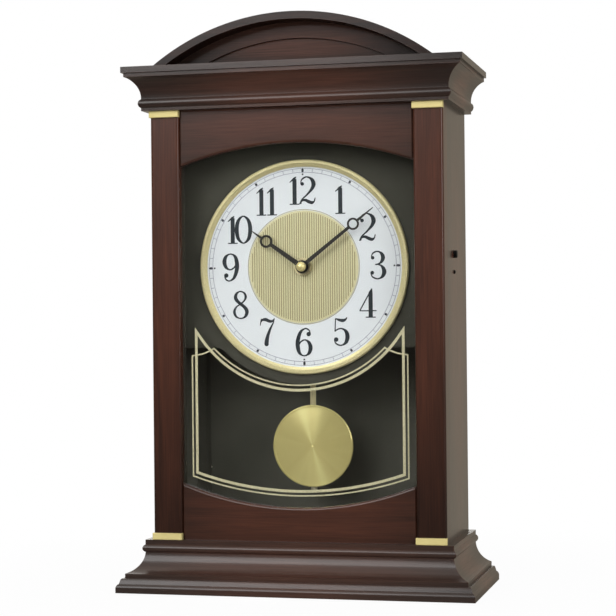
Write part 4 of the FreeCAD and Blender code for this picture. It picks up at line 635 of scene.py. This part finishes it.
def ring_of_marks(name, finish, marks, radius, size, circles=(), line=line_width):
    """Marks of one size in a ring about the dial's centre, each turned outwards, and plain circles."""
    values = {"radius": radius * mm, "mark_width": size[0] * mm, "mark_length": size[1] * mm,
              "mark_depth": 2 * print_depth * mm, "line_width": line * mm}
    values.update({f"circle_{i}": reach * mm for i, reach in enumerate(circles)})
    tree, given = start_tree(name, {"marks": "Int", **{label: "Float" for label in values}})
    ring = shade(tree, "GeometryNodeMeshCircle", {"Vertices": given["marks"], "Radius": given["radius"]})
    mark = shade(tree, "GeometryNodeMeshCube", {
        "Size": vector(tree, X=given["mark_width"], Y=given["mark_length"], Z=given["mark_depth"])})
    place = shade(tree, "GeometryNodeInputPosition").outputs[0]
    face = shade(tree, "FunctionNodeAlignRotationToVector", {"Vector": place}, axis="Y", pivot_axis="Z")
    put = shade(tree, "GeometryNodeInstanceOnPoints", {
        "Points": ring.outputs[0], "Instance": mark.outputs[0], "Rotation": face.outputs[0]})
    joined = shade(tree, "GeometryNodeJoinGeometry", {0: put.outputs[0]})
    for i in range(len(circles)):
        circle = shade(tree, "GeometryNodeCurvePrimitiveCircle", {
            "Resolution": circle_sides, "Radius": given[f"circle_{i}"]})
        cut = shade(tree, "GeometryNodeCurvePrimitiveQuadrilateral", {
            "Width": given["line_width"], "Height": given["mark_depth"]})
        strip = shade(tree, "GeometryNodeCurveToMesh", {
            "Curve": circle.outputs[0], "Profile Curve": cut.outputs[0], "Fill Caps": True})
        fill(tree, joined, {0: strip.outputs[0]})
    where = at(dial_x, plate_front, dial_z) @ Matrix.Rotation(math.pi / 2, 4, "X")
    run_tree(tree, joined.outputs[0], {"marks": marks, **values}, finish, "case", where)


ring_of_marks("minute_lines", print_grey, 60, mark_radius, (line_width, track_outer - track_inner),
              (track_inner, track_outer))
ring_of_marks("hour_squares", print_slate, 12, mark_radius, (1.6, 1.8))
ring_of_marks("quarter_dots", print_slate, 4, dot_radius, (1.15, 1.15))
ring_of_marks("quarter_strokes", print_slate, 4, mark_radius, (1.0, 3.1))
ring_of_marks("disc_outline", outline_gilt, 4, outline_marks, (0.2, 0.2), (outline_radius,), outline_width)

# Numerals: upright figures with thick uprights, thin turns and round ends, printed in dark slate. Each is
# drawn as a few strokes of a broad pen, 20 high, and the strokes are joined into one flat figure.
numeral_radius, numeral_lift, numeral_half = 53.7, 0.4, 10
hair, numeral_depth, stroke_step = 0.5, 1.4, 0.001
ball_sides, curve_steps = 24, 7
digits_apart = {"10": (-5.7, 2.6), "11": (-3.9, 3.9), "12": (-6.3, 3.4)}
pen_strokes = {
    "0": [("loop", [(5.0, 10, 1.5), (3.75, 16.6, 1.3), (0, 19.6, .9), (-3.75, 16.6, 1.3), (-5.0, 10, 1.5),
                    (-3.75, 3.4, 1.3), (0, .4, .9), (3.75, 3.4, 1.3)])],
    "1": [("line", [(.3, .5, 1.5), (.3, 18.4, 1.5)]), ("line", [(-3.3, .4, .4), (3.9, .4, .4)]),
          ("curve", [(-3.3, 15.9, .3), (-1.7, 17.2, .5), (.2, 18.8, 1.0), (1.55, 19.9, .25)])],
    "2": [("ball", [(-3.75, 14.7, 1.3)]),
          ("curve", [(-4.85, 14.9, .3), (-4.1, 17.7, .5), (-.7, 19.6, .9), (3.0, 18.1, 1.4),
                     (4.5, 14.6, 1.55), (3.3, 11.0, 1.3), (-.4, 6.9, .75), (-3.9, 3.7, .6), (-5.3, .5, .8)]),
          ("curve", [(-5.7, .45, .4, .4), (-4.1, 2.6, .5, .55), (-1.7, 3.2, .6, 1.0), (1.1, 1.9, .8, 1.25),
                     (3.4, 1.3, .8, 1.05), (4.9, 2.3, .5, .6), (5.6, 4.8, .35, .35)])],
    "3": [("ball", [(-3.6, 15.2, 1.25)]), ("ball", [(-4.0, 4.7, 1.35)]),
          ("curve", [(-4.6, 15.5, .3), (-3.6, 18.2, .5), (-.5, 19.6, .9), (2.6, 18.4, 1.25),
                     (3.8, 15.2, 1.45), (2.5, 12.0, 1.1), (-.3, 10.6, .6), (-1.9, 10.5, .4)]),
          ("curve", [(-1.9, 10.5, .4), (.6, 10.4, .6), (3.3, 8.9, 1.2), (4.6, 5.4, 1.55), (3.2, 1.8, 1.3),
                     (-.3, .4, .9), (-3.9, 1.9, .5), (-5.1, 4.6, .3)])],
    "4": [("line", [(2.6, 20.2, .45), (-5.9, 5.2, .45)]), ("line", [(-6.2, 4.9, .4), (6.0, 4.9, .4)]),
          ("line", [(1.8, .5, 1.5), (1.8, 17.6, 1.5)]), ("line", [(-1.8, .4, .4), (5.4, .4, .4)]),
          ("curve", [(1.8, 17.4, 1.5), (2.1, 18.6, 1.1), (2.9, 20.6, .25)])],
    "5": [("ball", [(-3.6, 4.5, 1.6)]), ("line", [(-3.9, 19.5, .4), (-4.4, 10.1, .4)]),
          ("curve", [(-4.0, 19.4, .3, .3), (-1.7, 18.4, .6, .9), (1.3, 17.9, .8, 1.15), (3.4, 18.7, .6, .8),
                     (4.4, 20.2, .3, .3)]),
          ("curve", [(-4.5, 10.2, .4), (-2.5, 11.7, .6), (.5, 12.2, .9), (3.5, 10.4, 1.35), (4.6, 6.4, 1.55),
                     (3.2, 2.0, 1.3), (-.4, .4, .9), (-3.8, 1.8, .5), (-5.0, 4.3, .3)])],
    "6": [("ball", [(3.3, 15.7, 1.6)]),
          ("curve", [(4.6, 15.7, .3), (3.7, 18.3, .5), (1.0, 19.6, .8), (-2.5, 17.4, 1.2), (-4.6, 11.4, 1.5),
                     (-4.6, 6.2, 1.5), (-3.2, 1.9, 1.2), (0, .4, .9), (3.3, 1.9, 1.25), (4.6, 6.0, 1.5),
                     (3.3, 10.1, 1.25), (.4, 11.6, .85), (-2.5, 10.2, .6), (-3.9, 7.8, .4)])],
    "7": [("curve", [(-5.3, 14.8, .3, .3), (-4.9, 17.2, .4, .4), (-4.4, 19.7, .4, .3)]),
          ("curve", [(-5.0, 16.8, .3, .3), (-3.7, 18.7, .6, .8), (-1.3, 19.0, .9, 1.2), (1.5, 17.9, .9, 1.15),
                     (3.7, 18.0, .6, .75), (5.2, 19.9, .3, .3)]),
          ("curve", [(5.2, 19.9, .3), (4.2, 16.6, .5), (1.9, 12.0, .9), (.1, 7.2, 1.25), (-.7, 3.0, 1.55),
                     (-.75, 1.3, 1.5)]), ("ball", [(-.75, 1.65, 1.6)])],
    "8": [("loop", [(-3.8, 15.6, 1.3), (-2.5, 12.8, 1.55), (.4, 10.4, 1.75), (3.3, 7.9, 1.6),
                    (4.6, 5.0, 1.35), (3.3, 1.6, 1.1), (0, .4, .85), (-3.4, 1.7, .9), (-4.7, 5.1, 1.0),
                    (-3.4, 8.3, .7), (-.4, 10.5, .6), (2.6, 12.9, .65), (3.8, 15.7, .9), (2.7, 18.5, .85),
                    (0, 19.6, .8), (-2.7, 18.5, 1.0)])],
}


def pen_outline(kind, marks):
    """The two sides of one pen stroke as lists of points, or a ball's rim and nothing."""
    if kind == "ball":
        x, z, radius = marks[0]
        turn = [2 * math.pi * i / ball_sides for i in range(ball_sides)]
        return [(x + radius * math.cos(a), z + radius * math.sin(a)) for a in turn], None
    marks = [(m[0], m[1], m[2], m[3] if len(m) == 4 else min(m[2], hair)) for m in marks]
    closed = kind == "loop"
    steps, path = 1 if kind == "line" else curve_steps, []
    total = len(marks)
    for i in range(total if closed else total - 1):
        if closed:
            four = [marks[(i + k) % total] for k in (-1, 0, 1, 2)]
        else:
            four = [marks[min(max(i + k, 0), total - 1)] for k in (-1, 0, 1, 2)]
        for s in range(steps):
            t = s / steps
            path.append([0.5 * (2 * b + (c - a) * t + (2 * a - 5 * b + 4 * c - d) * t * t
                                + (3 * b - a - 3 * c + d) * t ** 3) for a, b, c, d in zip(*four)])
    if not closed:
        path.append(list(marks[-1]))
    left, right = [], []
    for i, (x, z, wide, tall) in enumerate(path):
        before = path[i - 1] if closed or i else path[i]
        after = path[(i + 1) % len(path)] if closed or i + 1 < len(path) else path[i]
        way = Vector((after[0] - before[0], after[1] - before[1])).normalized()
        side = Vector((-way[1], way[0]))
        reach = math.sqrt((wide * side[0]) ** 2 + (tall * side[1]) ** 2)
        shift = (wide ** 2 * side[0] / reach, tall ** 2 * side[1] / reach)
        left.append((x + shift[0], z + shift[1]))
        right.append((x - shift[0], z - shift[1]))
    return left, right


def stroke_shell(kind, marks):
    """One stroke as a closed flat shell, one unit thick."""
    left, right = pen_outline(kind, marks)
    points, faces = [], []
    if right is None:
        total = len(left)
        points = [(x, 0, z) for x, z in left] + [(x, 1, z) for x, z in left]
        faces = [tuple(range(total)), tuple(range(2 * total - 1, total - 1, -1))]
        faces += [(i, i + total, (i + 1) % total + total, (i + 1) % total) for i in range(total)]
        return points, faces
    total = len(left)
    for (a, b), (c, d) in zip(left, right):
        points += [(a, 0, b), (a, 1, b), (c, 1, d), (c, 0, d)]
    for i in range(total if kind == "loop" else total - 1):
        a, b = 4 * i, 4 * ((i + 1) % total)
        faces += [(a + k, b + k, b + (k + 1) % 4, a + (k + 1) % 4) for k in range(4)]
    if kind != "loop":
        faces += [(0, 1, 2, 3), (4 * total - 1, 4 * total - 2, 4 * total - 3, 4 * total - 4)]
    return points, faces


def joined_figure(name):
    """All strokes of one figure, joined into one clean shell."""
    shells = []
    for number, (kind, marks) in enumerate(pen_strokes[name]):
        points, faces = stroke_shell(kind, marks)
        mesh = bpy.data.meshes.new(f"figure_{name}_{number}")
        mesh.from_pydata([(x, y - stroke_step * number, z) for x, y, z in points], [], faces)
        clean_shell(mesh)
        shells.append(stand(mesh.name, mesh))
    others = bpy.data.collections.new("strokes_" + name)
    for piece in shells[1:]:
        others.objects.link(piece)
    step = shells[0].modifiers.new("join", "BOOLEAN")
    step.operation = "UNION"
    step.solver = "EXACT"
    step.use_self = True
    if len(shells) > 1:
        step.operand_type = "COLLECTION"
        step.collection = others
    else:
        shells.append(stand("blank_" + name, bpy.data.meshes.new("blank_" + name)))
        step.operand_type = "OBJECT"
        step.object = shells[1]
    view = bpy.context.evaluated_depsgraph_get()
    mesh = bpy.data.meshes.new_from_object(shells[0].evaluated_get(view))
    for piece in shells:
        bpy.data.objects.remove(piece)
    bpy.data.collections.remove(others)
    return mesh


figures = {name: joined_figure(name) for name in pen_strokes}
upside_down = Matrix.Translation((0, 1, 2 * numeral_half)) @ Matrix.Rotation(math.pi, 4, "Y")
figures["9"] = figures["6"].copy()
figures["9"].transform(upside_down @ Matrix.Translation((0, -1, 0)))
sheet = bmesh.new()
for hour in range(1, 13):
    angle = math.radians(30 * hour)
    middle_x, middle_z = numeral_radius * math.sin(angle), numeral_radius * math.cos(angle)
    for digit, shift in zip(str(hour), digits_apart.get(str(hour), (0.0,))):
        part = figures[digit].copy()
        where = at(dial_x + middle_x + shift, plate_front - print_depth,
                   dial_z + middle_z + numeral_lift - numeral_half)
        part.transform(where @ Matrix.Diagonal((mm, numeral_depth * print_depth * mm, mm, 1)))
        sheet.from_mesh(part)
bmesh.ops.recalc_face_normals(sheet, faces=sheet.faces)
mesh = bpy.data.meshes.new("dial_numerals")
sheet.to_mesh(mesh)
sheet.free()
put_piece("dial_numerals", mesh, print_slate, "case")

# Dial ring: a bezel spun from thin metal and gilt, satin all over with a brighter crest. It sits on the
# dial board round the rim of the plate.
dress("dial_ring", gilt("ring_gilt", (0.61, 0.54, 0.275), (0.80, 0.715, 0.40), 0.34, 0.0008, 0.4))

# Hands and motion work: the threaded bush with its flat nut, two black hands pressed from thin metal, a
# domed gold nut that holds them, and behind the dial the nylon wheels and the arbor that turn them.
stipple_depth, plastic_clouds, plastic_noise = 0.000008, 0.015, (2.0, 0.6)
dress("centre_bush", rolled_metal("bush_brass", (0.5, 0.38, 0.16), (0.78, 0.64, 0.34),
                                  (0.004, 0.0002, 0.0002), 0.3))


def painted_black(name, low, high, roughness, fleck=0.0007):
    """Satin dark paint on thin metal, with a faint stipple."""
    rough = (roughness * 0.85, roughness * 1.15)
    return flecked(name, low, high, fleck, rough, stipple_depth, Specular_IOR_Level=0.45)


def moulded(name, low, high, roughness, fleck=0.0004, depth=0.00002, gloss=0.4):
    """Moulded plastic with the fine spark grain of its tool."""
    rough = (roughness * 0.9, roughness * 1.1)
    return grained(name, low, high, plastic_clouds, (fleck, *plastic_noise), rough, depth, gloss=gloss)


dress("bush_nut", rolled_metal("nut_brass", (0.62, 0.52, 0.28), (0.84, 0.75, 0.46), 0.0006, 0.3))
hand_black = painted_black("hand_black", (0.011, 0.0095, 0.0075), (0.019, 0.017, 0.013), 0.4)
dress("hour_hand", hand_black)
dress("minute_hand", hand_black)
dress("hand_nut", rolled_metal("nut_gold", (0.78, 0.62, 0.22), (0.95, 0.83, 0.40), 0.0006, 0.3, 0.6))
gear_nylon = moulded("gear_nylon", (0.70, 0.70, 0.64), (0.78, 0.78, 0.73), 0.38)
dress("hour_wheel", gear_nylon)
dress("minute_wheel", gear_nylon)
dress("minute_arbor", rolled_metal("arbor_brass", (0.5, 0.38, 0.16), (0.8, 0.66, 0.36),
                                   (0.0004, 0.004, 0.0004), 0.28))

# Quartz movement: black moulded halves with the train between them, and beside it a bay with a sliding
# cover, where two cells sit between steel contacts. Coils of copper wire drive it.
copper_low, copper_high, copper_rough = (0.28, 0.09, 0.035), (0.62, 0.27, 0.12), (0.45, 0.25)
wire_pitch, wire_wander, wire_depth = 0.003, 0.4, 0.00006
movement_black = moulded("movement_black", (0.011, 0.011, 0.012), (0.017, 0.017, 0.018), 0.5)
for name in ("movement_case", "movement_plate", "movement_cover", "setting_knob", "volume_knob",
             "switch_housing", "battery_cover"):
    dress(name, movement_black)
finish, tree, shader = start_finish("coil_copper", Metallic=0.9)
feeds = {"Vector": spread(tree, wire_pitch), "Scale": 1.0, "Distortion": wire_wander}
turns = shade(tree, "ShaderNodeTexWave", feeds, bands_direction="X", wave_profile="SIN").outputs["Fac"]
fill(tree, shader, {"Base Color": tint(tree, turns, [(0.2, copper_low), (0.9, copper_high)]),
                    "Roughness": span(tree, turns, 0, 1, *copper_rough)})
relief(tree, shader, turns, wire_depth)
dress("drive_coils", finish)
dress("battery_cells", rolled_metal("cell_jacket", (0.05, 0.06, 0.08), (0.10, 0.115, 0.14),
                                    (0.0005, 0.0005, 0.01), 0.35))
dress("battery_contacts", rolled_metal("contact_steel", (0.5, 0.5, 0.5), (0.72, 0.72, 0.71),
                                       (0.0005, 0.0005, 0.004), 0.25))

# Pendulum: a pressed gold disc on a flat brass rod, which hangs from a black moulded hook. The disc is
# brushed round its centre, with a painted highlight along two rays, and a small nut below it sets the rate.
bob_x, bob_z = 0.0, 100.3
bob_dome_radius, bob_dome_edge = 273.0, 9.5
bob_low, bob_high, bob_painted_highlight = (0.59, 0.51, 0.19), (0.78, 0.685, 0.29), (1.0, 0.93, 0.42)
painted_highlight_rays = ((-0.30, 70.0, 0.5), (0.22, 14.0, 0.2))
hub, hub_rough, brushed_rough = (0.3, 1.2), (0.5, 0.0), (0.17, 0.23)
line_pitch, brushed_share, ray_pitch, ray_share, line_depth = 5.0, 0.45, 2.2, 0.6, 0.000006


def in_world(tree, whole, kind):
    """A direction on the piece, as the world has it."""
    return shade(tree, "ShaderNodeVectorTransform", {0: whole}, vector_type=kind,
                 convert_from="OBJECT", convert_to="WORLD").outputs[0]


finish, tree, shader = start_finish("bob_gold", Metallic=0.45, Anisotropic=0.9, Anisotropic_Rotation=0.25)
off = split(tree, spread(tree, mm, (bob_x * mm, 0, bob_z * mm)))
out = length(tree, vector(tree, X=off["X"], Y=off["Z"]))
angle = count(tree, "ARCTAN2", off["X"], off["Z"])
sine, cosine = count(tree, "SINE", angle), count(tree, "COSINE", angle)
lines = mottle(tree, vector(tree, X=count(tree, "MULTIPLY", out, line_pitch), Y=sine, Z=cosine), 3.0, 0.7)
rays = mottle(tree, vector(tree, X=count(tree, "MULTIPLY", sine, ray_pitch),
                           Y=count(tree, "MULTIPLY", cosine, ray_pitch)), 4.0, 0.65)
tone = count(tree, "ADD", count(tree, "MULTIPLY", lines, brushed_share),
             count(tree, "MULTIPLY", rays, ray_share))
gold = tint(tree, tone, [(0.25, bob_low), (0.75, bob_high)])
# Painted highlight: two bright beams at fixed angles across the disc, where the lamps' reflection runs on the
# brushed gold.
painted_highlight = 0.0
for turned_by, narrow, share in painted_highlight_rays:
    beam = count(tree, "ABSOLUTE", count(tree, "COSINE", count(tree, "SUBTRACT", angle, turned_by)))
    painted_highlight = count(tree, "ADD", count(tree, "MULTIPLY", count(tree, "POWER", beam, narrow), share), painted_highlight)
middle = span(tree, out, *hub, *hub_rough, True)
gloss = count(tree, "MAXIMUM", span(tree, lines, *patches, *brushed_rough), middle)
around = vector(tree, X=off["Z"], Z=count(tree, "MULTIPLY", off["X"], -1.0))
fill(tree, shader, {"Base Color": mingle(tree, painted_highlight, gold, bob_painted_highlight), "Roughness": gloss,
                    "Tangent": in_world(tree, around, "VECTOR")})
# The dome's front takes its true shape, because the facets meet at a point in its middle.
dome = vector(tree, X=count(tree, "DIVIDE", off["X"], bob_dome_radius), Y=-1.0,
              Z=count(tree, "DIVIDE", off["Z"], bob_dome_radius))
true = shade(tree, "ShaderNodeNewGeometry").outputs["Normal"]
front = count(tree, "LESS_THAN", off["Y"], bob_dome_edge)
relief(tree, shader, count(tree, "MULTIPLY", lines, span(tree, out, *hub, 0.0, 1.0, True)), line_depth, 0.5,
       mingle(tree, front, true, in_world(tree, dome, "NORMAL")))
dress("pendulum_bob", finish)
dress("pendulum_rod", rolled_metal("rod_brass", (0.58, 0.50, 0.25), (0.78, 0.70, 0.40),
                                   (0.0003, 0.0003, 0.02), 0.3, 0.4))
dress("pendulum_hanger", moulded("hanger_black", (0.012, 0.012, 0.013), (0.02, 0.02, 0.021), 0.45))
dress("rating_nut", rolled_metal("nut_nickel", (0.27, 0.245, 0.165), (0.38, 0.35, 0.24), 0.0004, 0.4, 0.4))

# Back: a fixed upper panel with sound holes, the speaker behind them, and a door with a small brass knob
# on two brass hinges. Panel and leaves are screwed on, and a magnet holds the door shut.
door_inner_face = 49.4
dress_board("back_panel", "z", 5)
dress_board("back_door", "z", 6)
# The door's inner face gets the same lightened charcoal: painted light for the shade behind the pendulum.
paint_inside("back_door", "Y", "LESS_THAN", door_inner_face)
dress("speaker", painted_black("speaker_black", (0.012, 0.012, 0.013), (0.03, 0.03, 0.032), 0.5, 0.0015))
hinge_brass = rolled_metal("hinge_brass", (0.48, 0.36, 0.15), (0.72, 0.58, 0.30),
                           (0.0003, 0.0003, 0.006), 0.3)
for name in ("hinge_case_leaves", "hinge_door_leaves", "hinge_pins", "door_knob"):
    dress(name, hinge_brass)
screw_zinc = rolled_metal("screw_zinc", (0.42, 0.38, 0.26), (0.66, 0.61, 0.46), 0.0005, 0.3)
dress("hinge_screws", screw_zinc)
dress("panel_screws", screw_zinc)
dress("door_magnet", painted_black("magnet_black", (0.010, 0.010, 0.010), (0.024, 0.024, 0.024), 0.6))

# Side button and sensor window: moulded black plastic, let into two holes of the right side. The button
# slides in its own, and the sensor has a small dome that stands out of its hole.
button_y, sensor_z, side_face = 4.0, 223.9, 105.0
dome_sides, dome_rings = 24, ((-0.5, 1.4), (0.3, 1.4), (0.75, 1.15), (1.0, 0.6))
side_grain, side_gloss = 0.0006, 0.15
dress("chime_button", moulded("button_black", (0.004, 0.004, 0.004), (0.008, 0.008, 0.008), 0.35,
                              side_grain, 0.000005, side_gloss))
lens_dark = moulded("lens_dark", (0.002, 0.0015, 0.0015), (0.004, 0.003, 0.003), 0.6,
                    side_grain, 0.000003, side_gloss)
dress("sensor_lens", lens_dark)
dome_turns = [2 * math.pi * i / dome_sides for i in range(dome_sides)]
dome_points = [(side_face + rise, button_y + reach * math.cos(turn), sensor_z + reach * math.sin(turn))
               for rise, reach in dome_rings for turn in dome_turns]
last_ring = dome_sides * (len(dome_rings) - 1)
dome_faces = [(low + i, low + after, low + dome_sides + after, low + dome_sides + i)
              for low in range(0, last_ring, dome_sides)
              for i, after in ((i, (i + 1) % dome_sides) for i in range(dome_sides))]
dome_faces += [tuple(reversed(range(dome_sides))), tuple(range(last_ring, last_ring + dome_sides))]
add_piece("sensor_dome", dome_points, dome_faces, lens_dark, "case")
